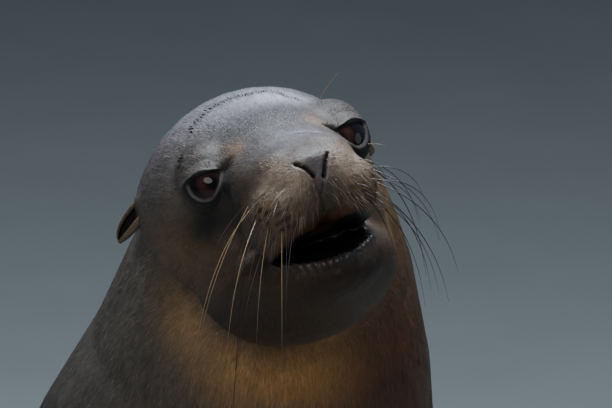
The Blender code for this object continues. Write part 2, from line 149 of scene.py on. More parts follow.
# The trunk from the tail to the nose: where its middle lies, and which way is across it.
TRUNK = np.array(
    (
        (0.0, 0.540, 0.015),
        (0.0, 0.400, 0.070),
        (0.0, 0.305, 0.097),
        (0.0, 0.165, 0.132),
        (0.0, 0.020, 0.194),
        (0.0, -0.115, 0.300),
        (0.0, -0.219, 0.424),
        (-0.004, -0.281, 0.535),
        (0.0, -0.313, 0.630),
        (-0.010, -0.338, 0.712),
        *from_head(
            ((0.0, 0.080, -0.030), (0.0, 0.020, -0.022), (0.0, -0.050, -0.028), (0.0, -0.102, -0.030))
        ),
    )
)
TRUNK_ACROSS = unit([(1, 0, 0)] * 9 + [(0.95, 0.2, 0.1)] + [HEAD_AXES[:, 0]] * 4)
FORE_LIMB = np.array(
    (
        (0.110, -0.195, 0.310),
        (0.136, -0.209, 0.264),
        (0.182, -0.235, 0.155),
        (0.218, -0.245, 0.066),
        (0.268, -0.219, 0.026),
        (0.346, -0.173, 0.014),
        (0.487, -0.083, 0.005),
    )
)
FORE_ACROSS = unit([(-0.5, 0.866, 0.0)] * 7)
HIND_LIMB = np.array(
    (
        (0.070, 0.345, 0.070),
        (0.112, 0.317, 0.042),
        (0.154, 0.247, 0.022),
        (0.208, 0.143, 0.010),
        (0.250, 0.070, 0.006),
    )
)
HIND_ACROSS = unit([(0.89, 0.456, 0.0)] * 5)
# Each limb's path, the way across it, how far it reaches round its path, and where along it the fur begins
# to end and has ended.
LIMBS = (
    (FORE_LIMB, FORE_ACROSS, 0.10, 0.200, 0.290),
    (HIND_LIMB, HIND_ACROSS, 0.11, 0.100, 0.175),
)


def along_path(points, path, across):
    """For each point: how far it is from the path, its place along, across and over it, and the way."""
    best = np.full(len(points), np.inf)
    rows = np.zeros((len(points), 3))
    ways = np.zeros((len(points), 3))
    steps = np.diff(path, axis=0)
    lengths = np.linalg.norm(steps, axis=1)
    starts = np.concatenate([[0], np.cumsum(lengths)])
    knots = unit(np.vstack([steps[:1], unit(steps[:-1]) + unit(steps[1:]), steps[-1:]]))
    for k, step in enumerate(steps):
        t = np.clip((points - path[k]) @ step / lengths[k] ** 2, 0, 1)
        off = points - path[k] - t[:, None] * step
        distance = np.linalg.norm(off, axis=1)
        nearer = distance < best
        way = unit(knots[k] * (1 - t[:, None]) + knots[k + 1] * t[:, None])
        side = unit(across[k] * (1 - t[:, None]) + across[k + 1] * t[:, None])
        upward = np.cross(way, side)
        row = np.stack([starts[k] + t * lengths[k], (off * side).sum(1), (off * upward).sum(1)], axis=1)
        best = np.where(nearer, distance, best)
        rows = np.where(nearer[:, None], row, rows)
        ways = np.where(nearer[:, None], way, ways)
    return best, rows, ways


def lie_of(points):
    """How far each point belongs to a limb, how leathery it is, its coordinates along the coat, and the way
    that the coat lies there.
    """
    _, rows, ways = along_path(points, TRUNK, TRUNK_ACROSS)
    coordinates, flow = rows.copy(), -ways
    limb, leather = np.zeros(len(points)), np.zeros(len(points))
    for path, across, reach, bare_from, bare_to in LIMBS:
        inner, top = path[0, 0] * 0.95, path[0, 2]
        for sign in SIDES.values():
            flip = np.array((sign, 1, 1))
            distance, limb_rows, limb_ways = along_path(points * flip, path, across)
            along, beside, above = limb_rows.T
            wide = reach * (1 + 1.2 * ease(along, 0.08, 0.20))
            share = ease(along, 0.0, 0.09) * (1 - ease(distance, wide * 0.6, wide))
            share = share * ease(points[:, 0] * sign, inner, inner + 0.03)
            share = share * (1 - ease(points[:, 2], top, top + 0.05))
            ragged = along + 0.010 * np.sin(beside * 95) + 0.012 * np.sin(above * 70 + 1)
            leather = np.maximum(leather, ease(ragged, bare_from, bare_to) * share)
            coordinates = np.where(share[:, None] > 0.5, limb_rows + (3.0 + sign, 0, 0), coordinates)
            flow = flow * (1 - share[:, None]) + limb_ways * flip * share[:, None]
            limb = np.maximum(limb, share)
    coordinates = coordinates * (COAT_STRETCH, 1.0, 1.0)
    return limb, leather, coordinates, unit(flow)


# ---------------------------------------------------------------- markings

# Soft patches of colour: name, middle, half sizes, colour, strength, and whether both sides have it. Later
# ones lie over earlier ones. Some of them are painted sheen, light or shade, as said beside them.
MARKS = (
    ("neck sides", (-0.100, 0.130, -0.060), (0.080, 0.090, 0.090), (0.070, 0.060, 0.050), 0.8, False),
    ("left of the neck", (0.100, 0.060, -0.070), (0.050, 0.060, 0.060), (0.240, 0.120, 0.040), 0.8, False),
    # painted sheen: the bluish grey of the sky reflected on the wet crown, laid as colour over its dark fur
    ("crown", (0.000, 0.035, 0.055), (0.075, 0.090, 0.050), (0.130, 0.128, 0.148), 0.95, False),
    ("brow sheen", (0.000, -0.020, 0.028), (0.046, 0.040, 0.024), (0.015, 0.014, 0.015), 0.9, False),
    ("temple", (0.070, 0.030, 0.010), (0.028, 0.045, 0.030), (0.070, 0.062, 0.062), 0.7, True),
    # painted sheen: the grey highlight on top of the muzzle, laid as colour
    ("bridge", (0.004, -0.058, 0.004), (0.026, 0.034, 0.018), (0.110, 0.105, 0.116), 0.9, False),
    ("cheek", (0.076, 0.030, -0.040), (0.030, 0.045, 0.032), (0.130, 0.082, 0.038), 0.85, True),
    ("pad", (0.031, -0.074, -0.042), (0.026, 0.040, 0.022), (0.140, 0.086, 0.050), 0.95, True),
    ("pad top", (0.024, -0.082, -0.024), (0.015, 0.022, 0.012), (0.300, 0.230, 0.175), 0.8, True),
    # dark chin, darkened further as painted shade: the deep shadow under the chin
    ("chin", (0.000, -0.064, -0.095), (0.050, 0.040, 0.022), (0.006, 0.002, 0.001), 1.0, False),
    ("throat", (-0.010, -0.005, -0.105), (0.080, 0.065, 0.035), (0.060, 0.028, 0.010), 1.0, False),
    # painted shade: the underside below the right cheek darkened
    ("under the cheek", (-0.060, 0.025, -0.085), (0.035, 0.050, 0.025), (0.022, 0.014, 0.007), 0.8, False),
    # painted light: the golden lit edge of the neck roll below the fold, at its middle and at its end
    ("gold fold", (-0.074, 0.098, -0.076), (0.017, 0.022, 0.030), (0.210, 0.130, 0.056), 0.95, False),
    ("gold fold end", (-0.056, 0.094, -0.114), (0.020, 0.022, 0.022), (0.240, 0.135, 0.052), 0.9, False),
    ("gold breast", (0.000, 0.090, -0.132), (0.055, 0.040, 0.030), (0.420, 0.205, 0.066), 0.9, False),
    # partly rusty fur, partly painted light: the orange glow of light from behind on the lower throat and
    # breast at the animal's left
    ("rust breast", (0.060, 0.115, -0.145), (0.045, 0.060, 0.060), (0.085, 0.022, 0.003), 0.95, False),
    ("under the eye", (0.060, 0.002, -0.025), (0.017, 0.026, 0.014), (0.004, 0.004, 0.004), 1.0, True),
    ("dark to the pad", (0.050, -0.030, -0.027), (0.013, 0.026, 0.011), (0.006, 0.006, 0.005), 0.9, True),
    ("brow spot", (0.029, -0.027, 0.015), (0.007, 0.011, 0.0085), (0.170, 0.108, 0.070), 0.7, True),
    ("brow", (0.048, 0.000, 0.024), (0.016, 0.022, 0.012), (0.020, 0.014, 0.011), 0.9, True),
    ("crown sheen", (0.024, 0.018, 0.043), (0.022, 0.015, 0.020), (0.330, 0.330, 0.370), 0.8, False),
    ("mouth's corner", (0.047, -0.034, -0.060), (0.012, 0.016, 0.009), (0.010, 0.007, 0.004), 0.95, True),
    ("cream", (0.0155, -0.100, -0.0275), (0.0075, 0.012, 0.0085), (0.320, 0.240, 0.180), 0.95, True),
    ("nose pad", (0.002, -0.101, -0.024), (0.0075, 0.014, 0.012), (0.070, 0.062, 0.066), 1.0, False),
)
# The colours of the lids, the lips, the whiskers' follicles and the ruffled fur, and the painted shade inside
# the mouth, in the nostril slits and in the fold across the bridge.
LID_BLACK = (0.005, 0.005, 0.005)
LID_RIM = (0.110, 0.098, 0.095)
LID_FOLD = (0.080, 0.066, 0.060)
# painted shade: black for the inside of the mouth and the nostril slits
MOUTH_AND_NOSTRIL_SHADE = (0.006, 0.005, 0.005)
LIP_GREY = (0.020, 0.020, 0.022)
LIP_FRINGE = (0.090, 0.034, 0.012)
FOLLICLE = (0.005, 0.003, 0.002)
# dark ruffled fur along the crown's rim, and also the painted shade in the fold across the bridge
RUFFLED_FUR_AND_FOLD_SHADE = (0.028, 0.025, 0.026)
PAD_PITCH = 0.0048  # from follicle to follicle

# The edges of the lips of the left half, from the corner of the mouth to the middle.
UPPER_LIP = np.array(
    (
        (0.0405, -0.0330, -0.0600),
        (0.0360, -0.0500, -0.0580),
        (0.0250, -0.0700, -0.0570),
        (0.0110, -0.0850, -0.0560),
        (0.0000, -0.0890, -0.0545),
    )
)
LOWER_LIP = np.array(
    (
        (0.0405, -0.0330, -0.0630),
        (0.0350, -0.0500, -0.0700),
        (0.0230, -0.0640, -0.0770),
        (0.0100, -0.0720, -0.0820),
        (0.0000, -0.0735, -0.0830),
    )
)
# How far the edge of the upper lip hangs, at these places from the animal's right to its left.
LIP_HANG = (
    (-0.046, -0.036, -0.025, -0.012, 0.000, 0.011, 0.025, 0.036, 0.046),
    (0.0040, 0.0090, 0.0050, 0.0028, 0.0012, 0.0017, 0.0030, 0.0026, 0.0010),
)

# A line over the crown where the hair is ruffled, and a fold across the bridge of the nose.
CROWN_RIM = np.array(
    (
        (-0.0660, -0.0050, 0.0120),
        (-0.0570, 0.0040, 0.0265),
        (-0.0405, 0.0220, 0.0425),
        (-0.0270, 0.0255, 0.0490),
        (-0.0090, 0.0285, 0.0530),
        (0.0040, 0.0270, 0.0520),
        (0.0205, 0.0300, 0.0500),
        (0.0330, 0.0145, 0.0360),
    )
)
BRIDGE_FOLD = np.array(
    (
        (-0.0040, -0.0480, 0.0050),
        (0.0090, -0.0510, 0.0065),
        (0.0220, -0.0540, 0.0020),
        (0.0320, -0.0600, -0.0090),
        (0.0360, -0.0700, -0.0180),
    )
)
# The slits of the left and the right nostril, seen from the front: x and z of their points. A groove runs
# down from each, and one goes on from there to the lip.
NOSTRILS = (
    np.array(((0.0110, -0.0162), (0.0064, -0.0230), (0.0030, -0.0300))),
    np.array(((-0.0117, -0.0162), (-0.0062, -0.0215), (-0.0034, -0.0275))),
)
NOSE_GROOVES = (
    np.array(((0.0030, -0.0300), (0.0014, -0.0345), (-0.0008, -0.0400))),
    np.array(((-0.0034, -0.0275), (-0.0032, -0.0365), (-0.0016, -0.0410), (0.0, -0.0550))),
)


def to_line(points, line):
    """The distance of each point from a line of points."""
    best = np.full(len(points), np.inf)
    for a, b in zip(line[:-1], line[1:]):
        step = b - a
        t = np.clip((points - a) @ step / (step @ step), 0, 1)
        best = np.minimum(best, np.linalg.norm(points - a - t[:, None] * step, axis=1))
    return best


def to_slit(h, slit):
    """How far the points are from a line, seen from the front of the head."""
    flat = np.insert(slit, 1, 0.0, axis=1)
    return to_line(h * (1, 0, 1), flat)


def lids_of(points, sign):
    """For points in the head's frame: the offset from the eyeball's middle, how far it is to the edge of the
    lids' opening (under 0 inside), and the place along and above the line between its corners, where the
    opening reaches 1.
    """
    off = points * (sign, 1, 1) - EYE_AT
    distance = np.linalg.norm(off, axis=1)
    scaled = off * (EYE_RADIUS / np.maximum(distance, 1e-6))[:, None]
    along = scaled @ LIDS_ALONG - LIDS_MIDDLE
    up = scaled @ LIDS_UP - LIDS_LINE
    a = along / LIDS_HALF_LENGTH
    u = up / np.where(up > 0, LIDS_RISE, LIDS_DROP)
    # The upper lid is flat, the inner corner sharp, and the lower lid runs straight up to that corner.
    power = np.where(up > 0, np.where(a < 0, 3.4, 2.4), np.where(a < 0, 1.5, 2.3))
    ring = (np.abs(a) ** power + np.abs(u) ** power) ** (1 / power)
    edge = np.hypot(along, up) * (1 - 1 / np.maximum(ring, 1e-3))
    near = (off @ LIDS_OUT > 0) & (distance < EYE_RADIUS + 0.016)
    return off, np.where(near, edge, 9.0), a, u


def follicles(h):
    """Dark spots in rows over the whisker pads, 1 in the middle of each."""
    side = on_left(h)
    column = (side[:, 0] * 0.55 - side[:, 1] * 0.83) / PAD_PITCH
    row = (side[:, 2] + 0.25 * side[:, 1]) / PAD_PITCH
    column = column + 0.5 * (np.floor(row) % 2)
    spot = np.hypot(column - np.floor(column) - 0.5, row - np.floor(row) - 0.5)
    return (1 - ease(spot, 0.16, 0.40)) * patch(side, (0.033, -0.070, -0.043), (0.021, 0.030, 0.016), 4)


def upper_lip_height(h):
    """The height of the upper lip's edge, from the corner of the mouth to its middle."""
    return np.interp(-h[:, 1], (0.024, 0.130), (-0.0610, -0.0520))


def lip_edge_height(h):
    """The same, with the lip hanging."""
    return upper_lip_height(h) - np.interp(h[:, 0], *LIP_HANG) * ease(-h[:, 1], 0.026, 0.042)


def inside_mouth(h, n):
    """1 between the lips, and on the roof and the floor of the mouth, with the surface's ways out: where the
    mouth's painted shade goes.
    """
    edge = lip_edge_height(h)
    low = np.interp(-h[:, 1], (0.024, 0.060, 0.075, 0.10), (-0.0620, -0.0715, -0.0760, -0.0830))
    between = ease(h[:, 2] - low, 0.0, 0.002) * ease(edge - h[:, 2], -0.0004, 0.0010)
    roof = bump(h[:, 2] - edge, 0.0, 0.0016) * ease(-n[:, 2], 0.80, 0.95)
    floor = bump(h[:, 2] - low, 0.0, 0.004) * ease(n[:, 2], 0.5, 0.8)
    within = ease(-h[:, 1], 0.022, 0.028) * ease(0.050 - abs(h[:, 0]), 0.0, 0.004) * (h[:, 1] > -0.10)
    return np.clip(np.maximum(between, np.maximum(roof, floor) * 2), 0, 1) * within


def markings(settings, points, normals, limb, leather, coordinates):
    """The colour of the surface and how bare it is, at points with these ways out."""
    h = to_head(points)
    colour = np.tile(settings.head_fur, (len(points), 1))

    def lay(target, share):
        colour[:] = colour * (1 - share[:, None]) + np.asarray(target) * share[:, None]

    trunk = ease(h[:, 1], 0.09, 0.16)
    lay(settings.back_fur, trunk)
    lay(settings.belly_fur, trunk * (1 - limb) * ease(-coordinates[:, 2], 0.0, 0.13))
    for _, middle, half, tone, strength, both in MARKS:
        share = patch(h, middle, half)
        if both:
            share = np.maximum(share, patch(h, mirrored(middle), half))
        lay(tone, share * strength)
    lay(FOLLICLE, follicles(h) * 0.97)
    rim = to_line(h, CROWN_RIM) + 0.0010 * np.sin(h[:, 0] * 900)
    lay(RUFFLED_FUR_AND_FOLD_SHADE, bump(rim, 0, 0.0038) * (0.20 + 0.35 * ease(h[:, 0], -0.055, -0.005)))
    # painted shade: the fold across the bridge darkened along its line
    lay(RUFFLED_FUR_AND_FOLD_SHADE, bump(to_line(h, BRIDGE_FOLD), 0, 0.0022) * 0.75)
    bare = leather.copy()
    lay(settings.leather, bare)
    for sign in SIDES.values():
        _, edge, along, up = lids_of(h, sign)
        dark = 1 - ease(edge, 0.0022, np.where(up > 0, 0.0046, 0.0080))
        lay(LID_BLACK, dark * 0.97)
        folds = bump(edge, 0.0042, 0.0010) * ease(up, 0.2, 1.0) * ease(-along, -0.9, 0.3)
        lay(LID_FOLD, folds * 0.6)
        lay(LID_RIM, bump(edge, 0.0007, 0.0005) * ease(-up, -0.05, 0.15) * 0.45)
        lay(LID_RIM, bump(edge, 0.0012, 0.0012) * bump(along, -0.85, 0.35) * bump(up, -0.1, 0.45) * 0.8)
        bare = np.maximum(bare, 1 - ease(edge, 0.0022, 0.0042))
        side = h * (sign, 1, 1)
        above = h[:, 2] - lip_edge_height(h)
        near_lip = (1 - ease(np.abs(side[:, 0]), 0.036, 0.044)) * ease(-side[:, 1], 0.025, 0.04)
        lay(LIP_FRINGE, bump(above, 0.0030, 0.0034) * near_lip * 0.8)
        lower = bump(to_line(side, LOWER_LIP), 0, 0.0032) * (1.0 if sign > 0 else 0.45)
        lay(LIP_GREY, np.clip(lower * 1.5, 0, 1))
        bare = np.maximum(bare, np.clip(lower * 1.6, 0, 1))
    inside = inside_mouth(h, normals @ HEAD_AXES)
    # painted shade: the inside of the mouth laid black
    lay(MOUTH_AND_NOSTRIL_SHADE, inside)
    nose = patch(h, (0, -0.1010, -0.0250), (0.0100, 0.0150, 0.0140))
    slits = np.minimum(to_slit(h, NOSTRILS[0]), to_slit(h, NOSTRILS[1]))
    slits = (1 - ease(slits, 0.0006, 0.0015)) * (h[:, 1] < -0.085)
    # painted shade: the nostril slits laid black
    lay(MOUTH_AND_NOSTRIL_SHADE, slits)
    bare = np.maximum.reduce([bare, inside, ease(nose, 0.3, 0.7), slits])
    return colour, bare


def gloss_of(points, normals):
    """Wet and shining on top, drier below, on the brows and round the eyes and the nose."""
    h = to_head(points)
    side = on_left(h)
    round_eye = 1 - ease(apart(side, EYE_AT), EYE_RADIUS + 0.002, EYE_RADIUS + 0.010)
    dull = np.maximum.reduce(
        [
            patch(side, (0.046, -0.006, 0.023), (0.020, 0.024, 0.014)) * 0.75,
            round_eye * 0.75,
            patch(side, (0.056, -0.008, -0.026), (0.020, 0.034, 0.018)) * 0.85,
            patch(h, (0, -0.094, -0.012), (0.018, 0.016, 0.010)) * 0.55,
        ]
    )
    return (0.22 + 0.78 * ease(normals[:, 2], -0.35, 0.35)) * (1 - dull)


# ---------------------------------------------------------------- meshes


def read(rows, key, width, kind=np.float32):
    """One property of all the rows of a mesh's layer, as an array."""
    flat = np.empty(len(rows) * width, kind)
    rows.foreach_get(key, flat)
    return flat.reshape(-1, width)


def points_of(mesh):
    return read(mesh.vertices, "co", 3).astype(float)


def put_points(mesh, points):
    mesh.vertices.foreach_set("co", np.asarray(points, np.float32).ravel())
    mesh.update()


def normals_of(mesh):
    return read(mesh.vertex_normals, "vector", 3).astype(float)


def edges_of(mesh):
    return read(mesh.edges, "vertices", 2, np.int32)


def piece_of(name, mesh, material=None):
    piece = bpy.data.objects.new(name, mesh)
    bpy.context.scene.collection.objects.link(piece)
    if material:
        mesh.materials.append(material)
    mesh.shade_smooth()
    return piece


def mesh_of(name, points, faces):
    mesh = bpy.data.meshes.new(name)
    mesh.from_pydata([tuple(p) for p in points], [], [tuple(f) for f in faces])
    mesh.update()
    return mesh


def reshape(mesh, change):
    """Changes the mesh by a function that takes it as a bmesh."""
    shape = bmesh.new()
    shape.from_mesh(mesh)
    change(shape)
    shape.to_mesh(mesh)
    shape.free()


def outward(mesh):
    """Turns all the faces to look out."""
    reshape(mesh, lambda shape: bmesh.ops.recalc_face_normals(shape, faces=shape.faces))


def apply_modifier(piece, kind, **settings):
    """Makes the result of a modifier with these settings the piece's mesh."""
    modifier = piece.modifiers.new("change", kind)
    for key, value in settings.items():
        setattr(modifier, key, value)
    graph = bpy.context.evaluated_depsgraph_get()
    mesh = bpy.data.meshes.new_from_object(piece.evaluated_get(graph))
    piece.modifiers.clear()
    old = piece.data
    piece.data = mesh
    bpy.data.meshes.remove(old)


def relax(points, edges, weights, rounds, keep=0.0):
    """Smooths the points along the edges. `keep` pushes back, so that the shape doesn't shrink."""
    a, b = edges.T
    n = len(points)
    count = np.maximum(np.bincount(edges.ravel(), minlength=n), 1)[:, None]
    for k in range(rounds):
        total = [np.bincount(a, points[b, i], n) + np.bincount(b, points[a, i], n) for i in range(3)]
        factor = -keep if keep and k % 2 else 0.5
        points = points + (np.stack(total, 1) / count - points) * (weights * factor)[:, None]
    return points


def store(mesh, name, kind, values):
    layer = mesh.attributes.new(name, kind, "POINT")
    key = {"FLOAT": "value", "FLOAT_VECTOR": "vector", "FLOAT_COLOR": "color"}[kind]
    if kind == "FLOAT_COLOR":
        values = np.hstack([values, np.ones((len(values), 1))])
    layer.data.foreach_set(key, np.asarray(values, np.float32).ravel())


def largest_body(shape):
    """Deletes all but the largest of the separate bodies."""
    left, bodies = set(shape.verts), []
    while left:
        body, edge = set(), {left.pop()}
        while edge:
            body |= edge
            edge = {e.other_vert(v) for v in edge for e in v.link_edges} - body
        left -= body
        bodies.append(body)
    bodies.sort(key=len)
    for crumb in bodies[:-1]:
        bmesh.ops.delete(shape, geom=list(crumb), context="VERTS")


# ---------------------------------------------------------------- materials


def plug(tree, socket, value):
    """Links another socket into this one, or sets it to a value."""
    if isinstance(value, bpy.types.NodeSocket):
        tree.links.new(value, socket)
    else:
        socket.default_value = value


def add(tree, kind, inputs=None, **settings):
    """A node with its settings and its inputs, which are sockets or values."""
    node = tree.nodes.new(kind)
    for key, value in settings.items():
        setattr(node, key, value)
    for key, value in (inputs or {}).items():
        plug(tree, node.inputs[key], value)
    return node


def math_node(tree, operation, *values):
    return add(tree, "ShaderNodeMath", dict(enumerate(values)), operation=operation).outputs[0]


def blend_values(tree, share, first, second):
    return add(tree, "ShaderNodeMix", {0: share, 2: first, 3: second}).outputs[0]


def blend_colours(tree, share, first, second, way="MIX"):
    inputs = {0: share, 6: first, 7: second}
    return add(tree, "ShaderNodeMix", inputs, data_type="RGBA", blend_type=way).outputs[2]


def noise(tree, at, scale, detail, rough=0.5):
    """Cloudy values from 0 to 1."""
    inputs = {"Vector": at, "Scale": scale, "Detail": detail, "Roughness": rough}
    return add(tree, "ShaderNodeTexNoise", inputs).outputs[0]


def new_group(name, inputs, outputs):
    """A shader node group with these sockets: the group, what it is given and what it puts out."""
    made = bpy.data.node_groups.new(name, "ShaderNodeTree")
    kinds = {"vector": "NodeSocketVector", "colour": "NodeSocketColor", "value": "NodeSocketFloat"}
    for label, kind in inputs:
        made.interface.new_socket(name=label, in_out="INPUT", socket_type=kinds[kind])
    for label, kind in outputs:
        made.interface.new_socket(name=label, in_out="OUTPUT", socket_type=kinds[kind])
    return made, made.nodes.new("NodeGroupInput").outputs, made.nodes.new("NodeGroupOutput").inputs


def wet_fur_group():
    """Short wet hair in streaks and clumps along the coat, and pores and wrinkles where it is bare."""
    made = bpy.data.node_groups.get("Wet fur")
    if made:
        return made
    made, given, out = new_group(
        "Wet fur",
        (("Lie", "vector"), ("Colour", "colour"), ("Bare", "value")),
        (("Colour", "colour"), ("Roughness", "value"), ("Height", "value")),
    )
    lie, bare = given["Lie"], given["Bare"]
    fine = noise(made, lie, 900.0, 3.0, 0.6)
    clumps = noise(made, lie, 210.0, 3.0, 0.55)
    broad = noise(made, lie, 26.0, 2.0)
    wrinkles = noise(made, lie, 330.0, 4.0)
    inputs = {"Vector": lie, "Scale": 620.0}
    pores = add(made, "ShaderNodeTexVoronoi", inputs, feature="DISTANCE_TO_EDGE").outputs[0]
    streak = math_node(made, "MULTIPLY_ADD", fine, 0.55, math_node(made, "MULTIPLY", clumps, 0.45))
    hairy = math_node(made, "MULTIPLY_ADD", streak, 2.0, math_node(made, "MULTIPLY_ADD", broad, 0.7, -0.35))
    plain = math_node(made, "MULTIPLY_ADD", wrinkles, 0.6, 0.7)
    tone = blend_values(made, bare, hairy, plain)
    shade = add(made, "ShaderNodeCombineXYZ", {0: tone, 1: tone, 2: tone}).outputs[0]
    plug(made, out["Colour"], blend_colours(made, 1.0, given["Colour"], shade, "MULTIPLY"))
    rough = math_node(made, "MULTIPLY_ADD", streak, 0.30, 0.30)
    plug(made, out["Roughness"], blend_values(made, bare, rough, 0.36))
    grain = math_node(made, "MULTIPLY", math_node(made, "MINIMUM", pores, 0.2), 0.7)
    grain = math_node(made, "MULTIPLY_ADD", wrinkles, 0.35, grain)
    plug(made, out["Height"], blend_values(made, bare, streak, grain))
    return made


def new_material(name, coat=0.0, coat_roughness=0.1, ior=1.45):
    material = bpy.data.materials.new(name)
    material.use_nodes = True
    tree = material.node_tree
    shader = tree.nodes["Principled BSDF"].inputs
    shader["Coat Weight"].default_value = coat
    shader["Coat Roughness"].default_value = coat_roughness
    shader["IOR"].default_value = ior
    return material, tree, shader


def fur_material(name, bump_distance, coat):
    """Wet fur that takes its colour, its lie, how bare it is and its gloss from the mesh."""
    material, tree, shader = new_material(name, coat_roughness=0.36)
    marks, lie, bare, gloss = (
        add(tree, "ShaderNodeAttribute", attribute_name=stored).outputs[kind]
        for stored, kind in (("marks", "Color"), ("lie", "Vector"), ("bare", "Fac"), ("gloss", "Fac"))
    )
    inputs = {"Lie": lie, "Colour": marks, "Bare": bare}
    fur = add(tree, "ShaderNodeGroup", inputs, node_tree=wet_fur_group())
    dull = math_node(tree, "MULTIPLY_ADD", gloss, -0.26, 0.26)
    relief = {"Height": fur.outputs["Height"], "Distance": bump_distance, "Strength": 0.8}
    plug(tree, shader["Base Color"], fur.outputs["Colour"])
    plug(tree, shader["Coat Weight"], math_node(tree, "MULTIPLY", gloss, coat))
    plug(tree, shader["Roughness"], math_node(tree, "ADD", fur.outputs["Roughness"], dull))
    plug(tree, shader["Normal"], add(tree, "ShaderNodeBump", relief).outputs[0])
    shader["Specular IOR Level"].default_value = 0.38
    return material


def eye_material(iris):
    """A wet dark eye: a black pupil in an iris with fine rays."""
    material, tree, shader = new_material("wet_eye", ior=1.36)
    shader["Roughness"].default_value = 0.04
    at = add(tree, "ShaderNodeTexCoord").outputs["Object"]
    x, y, _ = add(tree, "ShaderNodeSeparateXYZ", {0: at}).outputs
    squares = [math_node(tree, "POWER", value, 2.0) for value in (x, y)]
    out_by = math_node(tree, "SQRT", math_node(tree, "ADD", *squares))
    turn = math_node(tree, "MULTIPLY", math_node(tree, "ARCTAN2", y, x), 5.0)
    ray_at = add(tree, "ShaderNodeCombineXYZ", {0: turn, 1: math_node(tree, "MULTIPLY", out_by, 120.0)})
    rays = noise(tree, ray_at.outputs[0], 3.0, 4.0)
    edge = math_node(tree, "MULTIPLY_ADD", rays, 0.0012, out_by)
    ramp = add(tree, "ShaderNodeValToRGB", {"Fac": math_node(tree, "MULTIPLY", edge, 1.0 / 0.016)})
    stops = (
        (0.00, (0.003, 0.002, 0.003)),
        (0.22, (0.004, 0.003, 0.003)),
        (0.32, [tone * 0.50 for tone in iris]),
        (0.46, iris),
        (0.64, [tone * 0.75 for tone in iris]),
        (0.74, (0.006, 0.004, 0.005)),
        (0.86, (0.007, 0.007, 0.010)),
    )
    elements = ramp.color_ramp.elements
    elements[0].color = (*stops[0][1], 1.0)
    elements[1].color = (*stops[-1][1], 1.0)
    for spot, colour in stops[1:]:
        elements.new(spot).color = (*colour, 1.0)
    plug(tree, shader["Base Color"], ramp.outputs["Color"])
    return material


def horn_material(name, colour, roughness, coat):
    """Horn and whisker: faint streaks in one colour."""
    material, tree, shader = new_material(name, coat=coat, coat_roughness=0.15)
    at = add(tree, "ShaderNodeTexCoord").outputs["Object"]
    dark = [tone * 0.6 for tone in colour]
    streaks = noise(tree, at, 260.0, 2.0)
    plug(tree, shader["Base Color"], blend_colours(tree, streaks, (*dark, 1.0), (*colour, 1.0)))
    shader["Roughness"].default_value = roughness
    return material


# ---------------------------------------------------------------- the skin

EAR_ROOT = np.array((0.0775, 0.0745, 0.0100))
EAR_ROOT_RADIUS = 0.0085
LIP_RIDGE_PITCH = 0.0048
CHIN_WRINKLE_PITCH = 0.0055
KEEP = 0.51  # holds the shape's size while its surface is smoothed


def flesh(voxel):
    """One closed shape melted from the solids of flesh, with the eye sockets filled and the ears' roots
    raised.
    """
    shape = bmesh.new()
    for node in FUR_NODES + BARE_NODES + ("eye_left", "eye_right"):
        shape.from_mesh(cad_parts[node].data)
    for sign in SIDES.values():
        place = Matrix.Translation(Vector(from_head(EAR_ROOT * (sign, 1, 1))))
        bmesh.ops.create_icosphere(shape, subdivisions=3, radius=EAR_ROOT_RADIUS, matrix=place)
    mesh = bpy.data.meshes.new("skin")
    shape.to_mesh(mesh)
    shape.free()
    skin = piece_of("skin", mesh)
    apply_modifier(skin, "REMESH", mode="VOXEL", voxel_size=voxel)
    reshape(skin.data, largest_body)
    return skin


def thin_trunk(skin, share):
    """Thins the mesh, most on the trunk, less on the limbs and not on the head."""
    points = points_of(skin.data)
    far = ease(apart(to_head(points), HEAD_MIDDLE), 0.125, 0.20) * (1 - 0.7 * lie_of(points)[0])
    levels = np.round(far, 1)
    zone = skin.vertex_groups.new(name="trunk")
    for level in np.unique(levels[levels > 0]):
        zone.add(np.flatnonzero(levels == level).tolist(), float(level), "REPLACE")
    apply_modifier(skin, "DECIMATE", ratio=share, vertex_group="trunk", vertex_group_factor=1000.0)
    skin.vertex_groups.clear()


def refine(skin, zone):
    """Halves the mesh where zone(points in the head's frame) is true."""

    def halve(shape):
        shape.verts.ensure_lookup_table()
        inside = zone(to_head(np.array([v.co for v in shape.verts])))
        edges = [e for e in shape.edges if inside[e.verts[0].index] and inside[e.verts[1].index]]
        bmesh.ops.subdivide_edges(shape, edges=edges, cuts=1, use_grid_fill=True)
        bmesh.ops.triangulate(shape, faces=[f for f in shape.faces if len(f.verts) > 4])

    reshape(skin.data, halve)


def face_zone(h):
    return (h[:, 1] < 0.045) & (np.linalg.norm(h, axis=1) < 0.150)


def fine_zone(h):
    side = on_left(h)
    eyes = apart(side, EYE_AT) < 0.036
    nose = apart(h, (0, -0.100, -0.026)) < 0.030
    lips = np.minimum(to_line(side, UPPER_LIP), to_line(side, LOWER_LIP)) < 0.012
    bridge = (np.abs(h[:, 0] - 0.008) < 0.022) & (h[:, 1] < -0.040) & (h[:, 2] > -0.020)
    return eyes | nose | lips | bridge


# How far the lids stand out from the eyeball, at these distances from the edge of their opening, in
# millimetres.
LID_KNOTS = (-9.0, -1.6, -0.35, 0.0, 0.6, 1.3, 2.2, 3.0, 3.8, 4.7, 5.6, 6.6, 8.0, 12.0)
UPPER_LID = (-3.5, -3.0, -0.2, 1.0, 1.7, 2.1, 3.0, 3.1, 2.3, 3.3, 2.7, 3.6, 3.9, 5.0)
LOWER_LID = (-3.5, -3.0, -0.2, 0.5, 0.9, 1.1, 1.0, 1.3, 1.7, 1.5, 1.9, 2.2, 2.9, 4.0)


